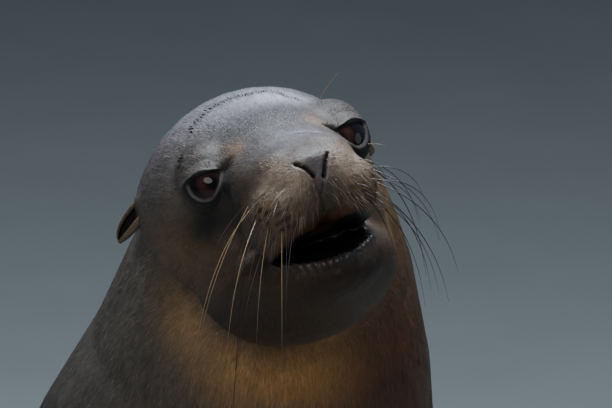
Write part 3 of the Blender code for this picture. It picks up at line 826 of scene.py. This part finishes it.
def shape_lids(h):
    """The lids hug each eyeball, with a rim round the opening and folds above and below it."""
    for sign in SIDES.values():
        off, edge, _, up = lids_of(h, sign)
        near = edge < 0.012
        distance = np.maximum(np.linalg.norm(off, axis=1), 1e-6)
        share = ease(up, -0.45, 0.35)
        upper, lower = (np.interp(edge * 1000, LID_KNOTS, lid) / 1000 for lid in (UPPER_LID, LOWER_LID))
        target = EYE_RADIUS + lower * (1 - share) + upper * share
        pull = (1 - ease(edge, 0.0025, 0.0080)) * ease(off @ LIDS_OUT / distance, 0.12, 0.40)
        scale = 1 + (target / distance - 1) * pull
        over_ball = (EYE_RADIUS + 0.0022 * ease(edge, 0.0, 0.0015)) / distance
        scale = np.where(edge > 0, np.maximum(scale, over_ball), scale)
        h = np.where(near[:, None], (EYE_AT + off * scale[:, None]) * (sign, 1, 1), h)
    return h


def shape_face(h, normals):
    """Nostrils, grooves, the fold on the bridge, lips and wrinkles, as moves along the normals."""
    side = on_left(h)
    rise = np.zeros(len(h))
    for slit in NOSTRILS:
        rise -= 0.0042 * bump(to_slit(h, slit), 0, 0.0011) * (h[:, 1] < -0.085)
    for groove in NOSE_GROOVES:
        rise -= 0.0016 * bump(to_slit(h, groove), 0, 0.0011) * (h[:, 1] < -0.080)
    rise -= 0.0011 * bump(to_line(h, BRIDGE_FOLD), 0, 0.0032)
    rise += 0.0016 * patch(side, (0.031, -0.078, -0.040), (0.016, 0.030, 0.016))
    lower = to_line(side, LOWER_LIP)
    rise += 0.0018 * bump(lower, 0.0, 0.0032)
    rise += 0.0003 * np.sin(side[:, 0] * 2 * math.pi / LIP_RIDGE_PITCH) * bump(lower, 0.001, 0.0040)
    above = h[:, 2] - upper_lip_height(h)
    hang = bump(above, 0.0015, 0.0100) * ease(-h[:, 1], 0.026, 0.042) * (above > -0.004)
    h = h - (hang * np.interp(h[:, 0], *LIP_HANG))[:, None] * (0, 0, 1)
    down = h[:, 1] + h[:, 2] * 0.8 + 0.002 * np.sin(h[:, 0] * 130)
    wrinkles = np.sin(down * 2 * math.pi / CHIN_WRINKLE_PITCH)
    rise += 0.0004 * wrinkles * patch(h, (0, -0.062, -0.096), (0.030, 0.018, 0.012))
    return h + normals * rise[:, None]


def paint(mesh, points, settings):
    """Stores what the fur's material reads."""
    limb, leather, coordinates, _ = lie_of(points)
    normals = normals_of(mesh)
    colour, bare = markings(settings, points, normals, limb, leather, coordinates)
    store(mesh, "marks", "FLOAT_COLOR", colour)
    store(mesh, "lie", "FLOAT_VECTOR", coordinates)
    store(mesh, "bare", "FLOAT", bare)
    store(mesh, "gloss", "FLOAT", gloss_of(points, normals))


def build_skin(settings):
    skin = flesh(settings.grain)
    points, edges = points_of(skin.data), edges_of(skin.data)
    head = 1 - ease(apart(to_head(points), HEAD_MIDDLE), 0.115, 0.17)
    limb = lie_of(points)[0]
    for weights, rounds in (((1 - head) * (1 - 0.3 * limb), 50), (limb, 90), (np.ones(len(points)), 8)):
        points = relax(points, edges, weights, rounds, keep=KEEP)
    put_points(skin.data, points)
    thin_trunk(skin, settings.thinning)
    refine(skin, face_zone)
    refine(skin, fine_zone)
    mesh = skin.data
    points, edges = points_of(mesh), edges_of(mesh)
    fine = face_zone(to_head(points)).astype(float)
    points = relax(points, edges, fine, 10, keep=KEEP)
    put_points(mesh, points)
    normals = normals_of(mesh)
    depth = settings.coat_depth * (1 - lie_of(points)[1])
    points = points - normals * depth[:, None]
    h = shape_lids(shape_face(to_head(points), normals @ HEAD_AXES))
    points = relax(from_head(h), edges, fine * 0.5, 2)
    points[:, 2] = np.maximum(points[:, 2], FLOOR_GAP)
    put_points(mesh, points)
    paint(mesh, points, settings)
    mesh.materials.append(fur_material("wet_skin", 0.0010, 0.30))
    mesh.shade_smooth()
    return skin


# ---------------------------------------------------------------- the coat

COAT_SEED = 11
PIECE_TUFTS = 48000  # the most that one piece of the coat holds
UNWRAP_SHARE = 0.04
# A tuft has four corners: left and right at its foot, its ridge and its tip.
TUFT_FACES = np.array(((0, 3, 2), (2, 3, 1), (0, 2, 1), (1, 3, 0)))
TUFT_TONES = (0.85, 0.85, 1.0, 1.1)
TUFT_PATCH = np.array(((-0.0015, -0.0012), (0.0015, -0.0012), (0.0, 0.0002), (0.0, 0.0015)))


def unwrapped(skin):
    """A thinned and unwrapped copy of the skin: a tree of its triangles, and their corners in space and on
    the unwrap.
    """
    copy = piece_of("unwrap", skin.data.copy())
    apply_modifier(copy, "DECIMATE", ratio=UNWRAP_SHARE)
    reshape(copy.data, lambda shape: bmesh.ops.triangulate(shape, faces=shape.faces))
    copy.data.uv_layers.new(name="OFBake")
    bpy.ops.object.select_all(action="DESELECT")
    copy.select_set(True)
    bpy.context.view_layer.objects.active = copy
    bpy.ops.object.mode_set(mode="EDIT")
    bpy.ops.mesh.select_all(action="SELECT")
    bpy.ops.uv.smart_project(angle_limit=math.radians(66), island_margin=0.005)
    bpy.ops.object.mode_set(mode="OBJECT")
    places = read(copy.data.uv_layers["OFBake"].uv, "vector", 2).reshape(-1, 3, 2)
    faces = read(copy.data.loops, "vertex_index", 1, np.int32).reshape(-1, 3)
    points = points_of(copy.data)
    tree = BVHTree.FromPolygons(points.tolist(), faces.tolist())
    bpy.data.objects.remove(copy)
    return tree, points[faces], places


def uv_at(roots, tree, triangles, places):
    """The roots' places on the unwrap, from the triangle that each one is nearest to."""
    found = [tree.find_nearest(root)[2] for root in roots.tolist()]
    a, b, c = triangles[found].transpose(1, 0, 2)
    v0, v1, v2 = b - a, c - a, roots - a
    d00, d01, d11 = (v0 * v0).sum(1), (v0 * v1).sum(1), (v1 * v1).sum(1)
    d20, d21 = (v2 * v0).sum(1), (v2 * v1).sum(1)
    down = np.maximum(d00 * d11 - d01 * d01, 1e-18)
    v = np.clip((d11 * d20 - d01 * d21) / down, 0, 1)
    w = np.clip((d00 * d21 - d01 * d20) / down, 0, 1)
    first, second, third = places[found].transpose(1, 0, 2)
    return first * (1 - v - w)[:, None] + second * v[:, None] + third * w[:, None]


def scatter(mesh, spacing_of, random):
    """Roots spread over the mesh, spacing_of(points) apart, with their ways out and how bare each one is."""
    mesh.calc_loop_triangles()
    faces = read(mesh.loop_triangles, "vertices", 3, np.int32)
    points, normals = points_of(mesh), normals_of(mesh)
    bare = read(mesh.attributes["bare"].data, "value", 1)
    a, b, c = points[faces].transpose(1, 0, 2)
    area = np.linalg.norm(np.cross(b - a, c - a), axis=1) / 2
    wanted = area / spacing_of(points[faces].mean(1)) ** 2
    edges = np.concatenate([[0], np.cumsum(wanted)])
    picks = np.repeat(np.arange(len(faces)), np.diff(np.floor(edges + random.random())).astype(int))
    u = np.sqrt(random.random(len(picks)))
    v = random.random(len(picks))
    shares = np.stack([1 - u, u * (1 - v), u * v], 1)[:, :, None]
    roots, ways, baldness = ((values[faces[picks]] * shares).sum(1) for values in (points, normals, bare))
    return roots, unit(ways), baldness[:, 0]


def face_flow(h, flow):
    """On the face the coat runs back from the nose and out over the pads, and down over the lips and chin."""
    out = (h - (0, -0.120, -0.015)) * (1.0, 1.0, 1.2)
    share = (1 - ease(h[:, 1], -0.02, 0.05))[:, None]
    return unit((flow @ HEAD_AXES) * (1 - share) + unit(out) * share) @ HEAD_AXES.T


def tuft_spacing(h):
    return np.interp(apart(h, FACE_MIDDLE), (0.07, 0.16, 0.30, 0.55), (0.00125, 0.0020, 0.0028, 0.0036))


def tuft_sizes(h, limb):
    """The length, width, thickness and lift of the tufts at these places."""
    away = (0.05, 0.10, 0.16, 0.35, 0.60)
    length = np.interp(apart(h, FACE_MIDDLE), away, (0.0030, 0.0046, 0.0066, 0.0095, 0.0120))
    muzzle = 1 - ease(h[:, 1], -0.060, -0.030)
    length = length * (1 - 0.25 * muzzle) * (1 - 0.35 * limb)
    ruffled = bump(to_line(h, CROWN_RIM), 0, 0.0030)
    width = 0.00042 + 0.085 * length
    return length, width, width * 0.13, 0.016 + 0.08 * ruffled


def coat_piece(name, corners, ways, places, colour, coordinates, gloss, material):
    """A piece of the coat, from the corners of its tufts and the ways that they face the light."""
    count = len(corners)
    points = corners.reshape(-1, 3)
    points[:, 2] = np.maximum(points[:, 2], FLOOR_GAP)
    faces = (np.arange(count)[:, None, None] * 4 + TUFT_FACES).reshape(-1, 3)
    mesh = bpy.data.meshes.new(name)
    mesh.vertices.add(len(points))
    mesh.loops.add(faces.size)
    mesh.polygons.add(len(faces))
    mesh.vertices.foreach_set("co", points.astype(np.float32).ravel())
    mesh.loops.foreach_set("vertex_index", faces.astype(np.int32).ravel())
    mesh.polygons.foreach_set("loop_start", np.arange(0, faces.size, 3, dtype=np.int32))
    mesh.update(calc_edges=True)
    mesh.validate()
    store(mesh, "marks", "FLOAT_COLOR", np.repeat(colour, 4, axis=0) * np.tile(TUFT_TONES, count)[:, None])
    store(mesh, "lie", "FLOAT_VECTOR", np.repeat(coordinates, 4, axis=0))
    store(mesh, "bare", "FLOAT", np.zeros(count * 4))
    store(mesh, "gloss", "FLOAT", np.repeat(gloss, 4))
    mesh.shade_smooth()
    mesh.normals_split_custom_set_from_vertices(unit(ways.reshape(-1, 3)))
    uv = (places[:, None] + TUFT_PATCH).reshape(-1, 2)
    layer = mesh.uv_layers.new(name="OFBake")
    layer.uv.foreach_set("vector", uv[faces.ravel()].astype(np.float32).ravel())
    mesh.materials.append(material)
    return piece_of(name, mesh)


def build_coat(skin, settings):
    random = np.random.default_rng(COAT_SEED)
    density = math.sqrt(settings.coat_density)
    roots, normals, bare = scatter(skin.data, lambda points: tuft_spacing(to_head(points)) / density, random)
    hairy = random.random(len(roots)) > ease(bare, 0.25, 0.6)
    roots, normals = roots[hairy], normals[hairy]
    limb, leather, coordinates, flow = lie_of(roots)
    h = to_head(roots)
    n = len(roots)
    along, beside, above = coordinates.T
    flow = face_flow(h, flow)
    flow = unit(flow - normals * (flow * normals).sum(1)[:, None])
    sway = np.sin(along * 600 + beside * 90) + np.sin(beside * 210 + above * 170)
    turn = 0.06 * sway + 0.09 * random.standard_normal(n)
    flow = unit(flow + np.cross(normals, flow) * turn[:, None])
    across = np.cross(normals, flow)
    length, width, thick, lift = (size[:, None] for size in tuft_sizes(h, limb))
    length = length * (0.7 + 0.6 * random.random((n, 1))) * settings.coat_length
    width = width * (0.75 + 0.5 * random.random((n, 1))) * settings.coat_length
    lift = lift * (0.4 + 1.2 * random.random((n, 1)))
    base = roots - normals * thick * 0.5
    left, right = base - across * width / 2, base + across * width / 2
    ridge = roots + flow * length * 0.35 + normals * thick
    tip = roots + flow * length + normals * length * lift
    corners = np.stack([left, right, ridge, tip], 1)
    colour, _ = markings(settings, roots, normals, limb, leather, coordinates)
    colour = colour * (0.70 + 0.60 * random.random((n, 1)))
    places = uv_at(roots, *unwrapped(skin))
    gloss = gloss_of(roots, normals)
    material = fur_material("wet_coat", 0.0006, 0.26)
    order = np.argsort(along + 10 * (h[:, 1] < 0.04), kind="stable")
    pieces = []
    for k, rows in enumerate(np.array_split(order, math.ceil(n / PIECE_TUFTS))):
        tilt = random.normal(0, 0.20, (2, len(rows), 1))
        out = normals[rows] + across[rows] * tilt[0] + flow[rows] * tilt[1] * 0.5
        side, way = across[rows] * 0.26, flow[rows] * 0.12
        ways = np.stack([out - side, out + side, out - way, out + way], 1)
        given = (values[rows] for values in (places, colour, coordinates, gloss))
        pieces.append(coat_piece(f"coat_{k + 1}", corners[rows], ways, *given, material))
    return pieces


# ---------------------------------------------------------------- eyes, ears, claws and whiskers


GAZE = (-0.20, -0.975, -0.03)  # both eyes look the same way
EYE_BULGE, EYE_BULGE_RADIUS = 0.0009, 0.0085


def build_eye(side, material):
    """A ball with a slightly bulging front, turned so that its own +Z looks out of the lids."""
    shape = bmesh.new()
    bmesh.ops.create_uvsphere(shape, u_segments=64, v_segments=40, radius=EYE_RADIUS)
    for vert in shape.verts:
        if vert.co.z > 0:
            vert.co.z += EYE_BULGE * math.exp(-((vert.co.xy.length / EYE_BULGE_RADIUS) ** 2))
    mesh = bpy.data.meshes.new(f"eyeball_{side}")
    shape.to_mesh(mesh)
    shape.free()
    eye = piece_of(mesh.name, mesh, material)
    way = Vector(HEAD_AXES @ unit(GAZE))
    place = Matrix.Translation(Vector(from_head(EYE_AT * (SIDES[side], 1, 1))))
    eye.matrix_world = place @ way.to_track_quat("Z", "Y").to_matrix().to_4x4()
    return eye


# The left ear from its root to its tip: centre, half width, half depth and how thick the roll is.
EAR = (
    ((0.0740, 0.0710, 0.0085), 0.0075, 0.0050, 0.0047),
    ((0.0825, 0.0770, 0.0060), 0.0080, 0.0052, 0.0040),
    ((0.0895, 0.0840, 0.0015), 0.0078, 0.0050, 0.0032),
    ((0.0948, 0.0905, -0.0025), 0.0064, 0.0042, 0.0026),
    ((0.0976, 0.0950, -0.0055), 0.0040, 0.0030, 0.0020),
    ((0.0985, 0.0970, -0.0078), 0.0018, 0.0016, 0.0010),
)
EAR_SPREAD = {"left": 0.55, "right": 1.0}
EAR_ACROSS = np.array((-0.30, 0.10, 0.95))
EAR_SLIT = math.radians(42.0)
EAR_RINGS, EAR_CORNERS = 26, 22
EAR_HOLLOW = np.array((0.006, 0.005, 0.004))


def smooth_rows(rows, count):
    """A smooth curve through rows of numbers (Catmull-Rom)."""
    rows = np.array(rows, float)
    rows = np.vstack([2 * rows[0] - rows[1], rows, 2 * rows[-1] - rows[-2]])
    made = []
    for place in np.linspace(0, len(rows) - 3, count):
        k = min(int(place), len(rows) - 4)
        t = place - k
        a, b, c, d = rows[k : k + 4]
        bend, twist = 2 * a - 5 * b + 4 * c - d, 3 * b - a - 3 * c + d
        made.append(0.5 * (2 * b + (c - a) * t + bend * t * t + twist * t**3))
    return np.array(made)


def ring_faces(rings, sides):
    """Faces between rings of corners, with both ends closed."""
    faces = [
        (r * sides + k, r * sides + (k + 1) % sides, (r + 1) * sides + (k + 1) % sides, (r + 1) * sides + k)
        for r in range(rings - 1)
        for k in range(sides)
    ]
    return faces + [tuple(range(sides))[::-1], tuple(range((rings - 1) * sides, rings * sides))]


def build_ear(side, settings):
    """A pointed leaf, rolled so that its edges nearly meet."""
    rows = smooth_rows([(*centre, *sizes) for centre, *sizes in EAR], EAR_RINGS)
    rows[:, 0] = rows[0, 0] + (rows[:, 0] - rows[0, 0]) * EAR_SPREAD[side]
    headings = unit(np.gradient(rows[:, :3], axis=0))
    arc = np.linspace(EAR_SLIT, 2 * math.pi - EAR_SLIT, EAR_CORNERS)
    points = []
    for row, heading in zip(rows, headings):
        front = unit(np.cross(heading, EAR_ACROSS))
        across = np.cross(front, heading)
        wide, deep, wall = row[3:]
        for ring, inset in ((arc, 0.0), (arc[::-1], wall)):
            for angle in ring:
                off = across * (wide - inset) * math.sin(angle) + front * (deep - inset) * math.cos(angle)
                points.append(row[:3] + off)
    h = np.array(points) * (SIDES[side], 1, 1)
    mesh = mesh_of(f"pinna_{side}", from_head(h), ring_faces(EAR_RINGS, EAR_CORNERS * 2))
    outward(mesh)
    hollow = np.tile(np.repeat((0.0, 1.0), EAR_CORNERS), EAR_RINGS)
    outer = np.array(settings.ear)
    store(mesh, "marks", "FLOAT_COLOR", outer + (EAR_HOLLOW - outer) * hollow[:, None])
    store(mesh, "lie", "FLOAT_VECTOR", h * (1.0, 1.0, 0.1))
    store(mesh, "bare", "FLOAT", hollow * 0.8)
    store(mesh, "gloss", "FLOAT", np.full(len(h), 0.7))
    return piece_of(mesh.name, mesh, bpy.data.materials["wet_skin"])


def build_claw(node, material):
    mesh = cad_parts[node].data.copy()
    mesh.name = f"nail_{node.split('_', 1)[1]}"
    mesh.materials.clear()
    claw = piece_of(mesh.name, mesh, material)
    apply_modifier(claw, "SUBSURF", levels=1, render_levels=1)
    claw.data.shade_smooth()
    return claw


def tube(points, radius, count, sides):
    """The corners of a tapering tube through the points, and its faces."""
    rows = smooth_rows(points, count)
    ways = unit(np.gradient(rows, axis=0))
    side = unit(np.cross(ways[0], (0.3, 0.2, 0.93)))
    corners = []
    for k, (row, way) in enumerate(zip(rows, ways)):
        side = unit(side - way * (side @ way))
        other = np.cross(way, side)
        reach = radius * (1 - 0.86 * (k / (count - 1)) ** 1.3)
        for angle in np.linspace(0, 2 * math.pi, sides, endpoint=False):
            corners.append(row + (side * math.cos(angle) + other * math.sin(angle)) * reach)
    return np.array(corners), ring_faces(count, sides)


def build_tubes(name, lines, radius, material):
    """One piece of tubes along the lines. Fine ones have fewer rings and sides."""
    count, sides = (20, 6) if radius > 0.0002 else (8, 4)
    points, faces = [], []
    for k, line in enumerate(lines):
        length = np.linalg.norm(line[-1] - line[1])
        corners, made = tube(line, radius * min(0.5 + length / 0.14, 1.15), count, sides)
        points.append(corners)
        faces += [tuple(corner + k * count * sides for corner in face) for face in made]
    mesh = mesh_of(name, np.vstack(points), faces)
    outward(mesh)
    return piece_of(name, mesh, material)


UPWARD = HEAD_AXES[2]  # the way up, in the head's frame
WHISKER_SEED = 5
BRISTLES = 170


def bowed(root, way, length, droop, foot=0.002):
    """A line of points that leaves the root along a way and bends down under its own weight."""
    steps = (0.2, 0.4, 0.6, 0.8, 1.0)
    free = [root + (way * (t - 0.38 * t * t) - UPWARD * droop * t**2) * length for t in steps]
    return [root - way * foot, root, *free]


def pad_whiskers(sign, random, root_on):
    """Whiskers in rows on a pad, longer to the back and on the animal's right."""
    longer = 1.0 if sign > 0 else 1.35
    lines = []
    for row in range(5):
        for place in range(4 - row % 2):
            back = (place + 0.5 * (row % 2)) / 3
            root = np.array((0.024, -0.094, -0.029 - 0.006 * row)) + np.array((0.018, 0.036, 0.002)) * back
            root = root_on((root + random.normal(0, 0.0006, 3)) * (sign, 1, 1))
            length = (0.026 + 0.050 * back + 0.004 * row) * random.uniform(0.8, 1.2) * longer
            way = np.array((0.46, -0.32 + 0.36 * back, -0.12 - 0.14 * row))
            way = unit(way + random.normal(0, 0.13, 3)) * (sign, 1, 1)
            lines.append(bowed(root, way, length, random.uniform(0.40, 0.75)))
    return lines


def brow_whiskers(root_on):
    """A few fine hairs over the eyes and on a cheek: root, way, length and droop."""
    hairs = (
        ((0.0397, -0.0010, 0.0254), (0.75, -0.35, 0.62), 0.052, 0.10),
        ((0.0640, -0.0120, -0.0120), (0.80, -0.40, -0.30), 0.024, 0.20),
        ((-0.0300, -0.0260, 0.0160), (-0.82, -0.20, 0.52), 0.068, 0.62),
        ((-0.0290, -0.0270, 0.0140), (0.55, -0.60, -0.25), 0.026, 0.15),
    )
    return [bowed(root_on(root), unit(way), length, droop) for root, way, length, droop in hairs]


def bristles(random, root_on):
    """Short pale hairs over the pads and the upper lip."""
    lines = []
    for k in range(BRISTLES):
        sign = 1 if k % 2 else -1
        root = np.array((random.uniform(0.004, 0.044), 0.0, random.uniform(-0.060, -0.024)))
        root[1] = -0.100 + 1.1 * max(root[0] - 0.016, 0)
        root = root_on(root * (sign, 1, 1))
        way = np.array((0.30 + 6 * abs(root[0]), -0.45, -0.75)) + random.normal(0, 0.12, 3)
        lines.append(bowed(root, unit(way) * (sign, 1, 1), random.uniform(0.008, 0.017), 0.35, foot=0.0006))
    return lines


def build_whiskers(skin, settings):
    random = np.random.default_rng(WHISKER_SEED)
    tree = BVHTree.FromObject(skin, bpy.context.evaluated_depsgraph_get())

    def root_on(point):
        """The place on the skin nearest to a point in the head's frame."""
        return to_head(np.array(tree.find_nearest(Vector(from_head(point)))[0]))

    dark = horn_material("dark_whisker", settings.dark_whisker, 0.3, 0.3)
    gold = horn_material("gold_whisker", settings.gold_whisker, 0.3, 0.3)
    pale = horn_material("pale_bristle", settings.bristle, 0.4, 0.2)
    right = pad_whiskers(-1.0, random, root_on)
    left = pad_whiskers(1.0, random, root_on)
    # Each piece's name, its lines, how thick it is against a whisker, and its material.
    sets = (
        ("whiskers_left", left, 1.0, dark),
        ("whiskers_right", right[1::3] + right[2::3], 0.85, dark),
        ("gold_whiskers", right[::3], 0.8, gold),
        ("brow_whiskers", brow_whiskers(root_on), 0.55, gold),
        ("bristles", bristles(random, root_on), 0.36, pale),
    )
    return [
        build_tubes(name, [from_head(line) for line in lines], settings.whisker_radius * share, material)
        for name, lines, share, material in sets
    ]


# ---------------------------------------------------------------- the stage


def area_light(name, place, aim, size, power, colour):
    light = bpy.data.lights.new(name, "AREA")
    light.shape = "ELLIPSE"
    light.size, light.size_y = size
    light.energy = power
    light.color = colour
    lamp = bpy.data.objects.new(name, light)
    bpy.context.scene.collection.objects.link(lamp)
    lamp.location = place
    lamp.rotation_euler = (Vector(aim) - Vector(place)).to_track_quat("-Z", "Y").to_euler()


def floor_material(pale):
    """A plain floor with faint clouds."""
    material, tree, shader = new_material("pale_floor")
    at = add(tree, "ShaderNodeTexCoord").outputs["Object"]
    dark = [tone * 0.845 for tone in pale]
    clouds = noise(tree, at, 6.0, 4.0)
    plug(tree, shader["Base Color"], blend_colours(tree, clouds, (*dark, 1.0), (*pale, 1.0)))
    shader["Roughness"].default_value = 0.7
    return material


def build_stage(settings):
    reach = 9.0
    corners = [(-reach, -reach, 0), (reach, -reach, 0), (reach, reach, 0), (-reach, reach, 0)]
    floor = piece_of("floor", mesh_of("floor", corners, [(0, 1, 2, 3)]), floor_material(settings.floor))
    world = bpy.data.worlds.new("studio")
    bpy.context.scene.world = world
    world.use_nodes = True
    world.node_tree.nodes["Background"].inputs["Color"].default_value = (0.62, 0.72, 0.82, 1)
    world.node_tree.nodes["Background"].inputs["Strength"].default_value = 0.17
    aim = tuple(HEAD_AT)
    area_light("sky_panel", (0.22, 0.05, 2.25), aim, (1.7, 1.3), 90, (0.86, 0.93, 1.0))
    area_light("key", (-1.8, -1.7, 2.1), aim, (2.0, 1.4), 26, (1.0, 0.97, 0.93))
    area_light("fill", (1.9, -1.5, 1.0), aim, (1.2, 1.2), 3, (0.95, 0.97, 1.0))


AZIMUTH, ELEVATION, DISTANCE, LENS = math.radians(-30.0), math.radians(17.0), 4.0, 352.9
AIM_RIGHT, AIM_DOWN = 0.02033, 0.02867  # from the middle of the head, across the view


def build_camera():
    right = Vector((math.cos(AZIMUTH), math.sin(AZIMUTH), 0))
    level = Vector((math.sin(AZIMUTH), -math.cos(AZIMUTH), 0))
    back = level * math.cos(ELEVATION) + Vector((0, 0, math.sin(ELEVATION)))
    aim = Vector(HEAD_AT) + right * AIM_RIGHT - back.cross(right) * AIM_DOWN
    camera = bpy.data.objects.new("camera", bpy.data.cameras.new("camera"))
    bpy.context.scene.collection.objects.link(camera)
    camera.data.sensor_width = 36.0
    camera.data.lens = LENS
    camera.location = aim + back * DISTANCE
    camera.rotation_euler = back.to_track_quat("Z", "Y").to_euler()
    bpy.context.scene.camera = camera


# ---------------------------------------------------------------- the add-on


def size_property(name, description, default, precision):
    return bpy.props.FloatProperty(
        name=name, description=description, default=default, min=0.0, unit="LENGTH", precision=precision
    )


def share_property(name, description, default, low, high):
    return bpy.props.FloatProperty(name=name, description=description, default=default, min=low, max=high)


def colour_property(name, description, default):
    return bpy.props.FloatVectorProperty(
        name=name, description=description, default=default, min=0.0, max=1.0, subtype="COLOR"
    )


class SeaLionSettings(bpy.types.PropertyGroup):
    """Sizes and colours of the figure's dressing"""

    grain: size_property("Grain", "Size of the voxels that the skin is melted from", 0.003, 4)
    thinning: share_property("Thinning", "Share of the trunk's mesh that stays", 0.46, 0.05, 1.0)
    coat_depth: size_property("Coat depth", "How far the skin lies inside the solids", 0.0009, 4)
    coat_density: share_property("Coat density", "Tufts for each one of the standard coat", 1.0, 0.05, 2.0)
    coat_length: share_property("Coat length", "Size of the tufts against the standard coat", 1.0, 0.2, 3.0)
    whisker_radius: size_property("Whisker radius", "Half a whisker's thickness at its root", 0.00045, 5)
    head_fur: colour_property("Head fur", "Wet fur of the head, under its markings", (0.045, 0.034, 0.024))
    back_fur: colour_property("Back fur", "Wet fur of the back", (0.036, 0.032, 0.028))
    belly_fur: colour_property("Belly fur", "Wet fur of the underside", (0.075, 0.036, 0.014))
    leather: colour_property("Leather", "Bare skin of the flippers", (0.008, 0.008, 0.009))
    ear: colour_property("Ears", "Outside of the ears", (0.120, 0.078, 0.048))
    iris: colour_property("Iris", "Brightest ring of the eyes", (0.040, 0.018, 0.016))
    claw: colour_property("Claws", "Horn of the claws", (0.022, 0.019, 0.017))
    dark_whisker: colour_property("Dark whiskers", "Most of the whiskers", (0.030, 0.022, 0.017))
    gold_whisker: colour_property("Golden whiskers", "Every third of the right", (0.330, 0.210, 0.110))
    bristle: colour_property("Bristles", "Short hairs of the whisker pads", (0.330, 0.250, 0.180))
    floor: colour_property("Floor", "The floor's lighter clouds", (0.225, 0.255, 0.265))


class BuildSkin(bpy.types.Operator):
    """Builds the one skin that replaces the solids of flesh"""

    bl_idname = "sealion.skin"
    bl_label = "Skin"

    def execute(self, context):
        skin = build_skin(context.scene.sea_lion)
        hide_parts(*FUR_NODES, *BARE_NODES)
        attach(skin, "root")
        return {"FINISHED"}


class BuildCoat(bpy.types.Operator):
    """Lays the short coat of tufts over the skin"""

    bl_idname = "sealion.coat"
    bl_label = "Coat"

    def execute(self, context):
        for piece in build_coat(bpy.data.objects["skin"], context.scene.sea_lion):
            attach(piece, "root")
        return {"FINISHED"}


class BuildEyes(bpy.types.Operator):
    """Sets both eyes"""

    bl_idname = "sealion.eyes"
    bl_label = "Eyes"

    def execute(self, context):
        material = eye_material(context.scene.sea_lion.iris)
        for side in SIDES:
            eye = build_eye(side, material)
            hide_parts(f"eye_{side}")
            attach(eye, "root")
        return {"FINISHED"}


class BuildEars(bpy.types.Operator):
    """Rolls both ears"""

    bl_idname = "sealion.ears"
    bl_label = "Ears"

    def execute(self, context):
        for side in SIDES:
            ear = build_ear(side, context.scene.sea_lion)
            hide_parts(f"ear_{side}")
            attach(ear, "root")
        return {"FINISHED"}


class BuildClaws(bpy.types.Operator):
    """Smooths the nails of the hind flippers"""

    bl_idname = "sealion.claws"
    bl_label = "Claws"

    def execute(self, context):
        horn = horn_material("horn", context.scene.sea_lion.claw, 0.3, 0.5)
        for node in sorted(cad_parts):
            if node.startswith("claw_"):
                claw = build_claw(node, horn)
                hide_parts(node)
                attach(claw, "root")
        return {"FINISHED"}


class BuildWhiskers(bpy.types.Operator):
    """Roots the whiskers and bristles in the pads, and a few hairs over the eyes"""

    bl_idname = "sealion.whiskers"
    bl_label = "Whiskers"

    def execute(self, context):
        for piece in build_whiskers(bpy.data.objects["skin"], context.scene.sea_lion):
            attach(piece, "root")
        return {"FINISHED"}


class BuildStage(bpy.types.Operator):
    """Puts up the floor, the lights and the camera"""

    bl_idname = "sealion.stage"
    bl_label = "Stage"

    def execute(self, context):
        build_stage(context.scene.sea_lion)
        build_camera()
        return {"FINISHED"}


class SeaLionPanel(bpy.types.Panel):
    """Lists the figure's settings and its steps"""

    bl_idname = "SEALION_PT_panel"
    bl_label = "Sea lion"
    bl_space_type = "VIEW_3D"
    bl_region_type = "UI"
    bl_category = "Sea lion"

    def draw(self, context):
        for name in SeaLionSettings.__annotations__:
            self.layout.prop(context.scene.sea_lion, name)
        for step in STEPS:
            self.layout.operator(step.bl_idname)


STEPS = (BuildStage, BuildSkin, BuildCoat, BuildEyes, BuildEars, BuildClaws, BuildWhiskers)
CLASSES = (SeaLionSettings, *STEPS, SeaLionPanel)


def register():
    for made in CLASSES:
        bpy.utils.register_class(made)
    bpy.types.Scene.sea_lion = bpy.props.PointerProperty(type=SeaLionSettings)


def unregister():
    del bpy.types.Scene.sea_lion
    for made in reversed(CLASSES):
        bpy.utils.unregister_class(made)


def main():
    register()
    for step in STEPS:
        family, name = step.bl_idname.split(".")
        getattr(getattr(bpy.ops, family), name)()


if __name__ == "__main__":
    main()
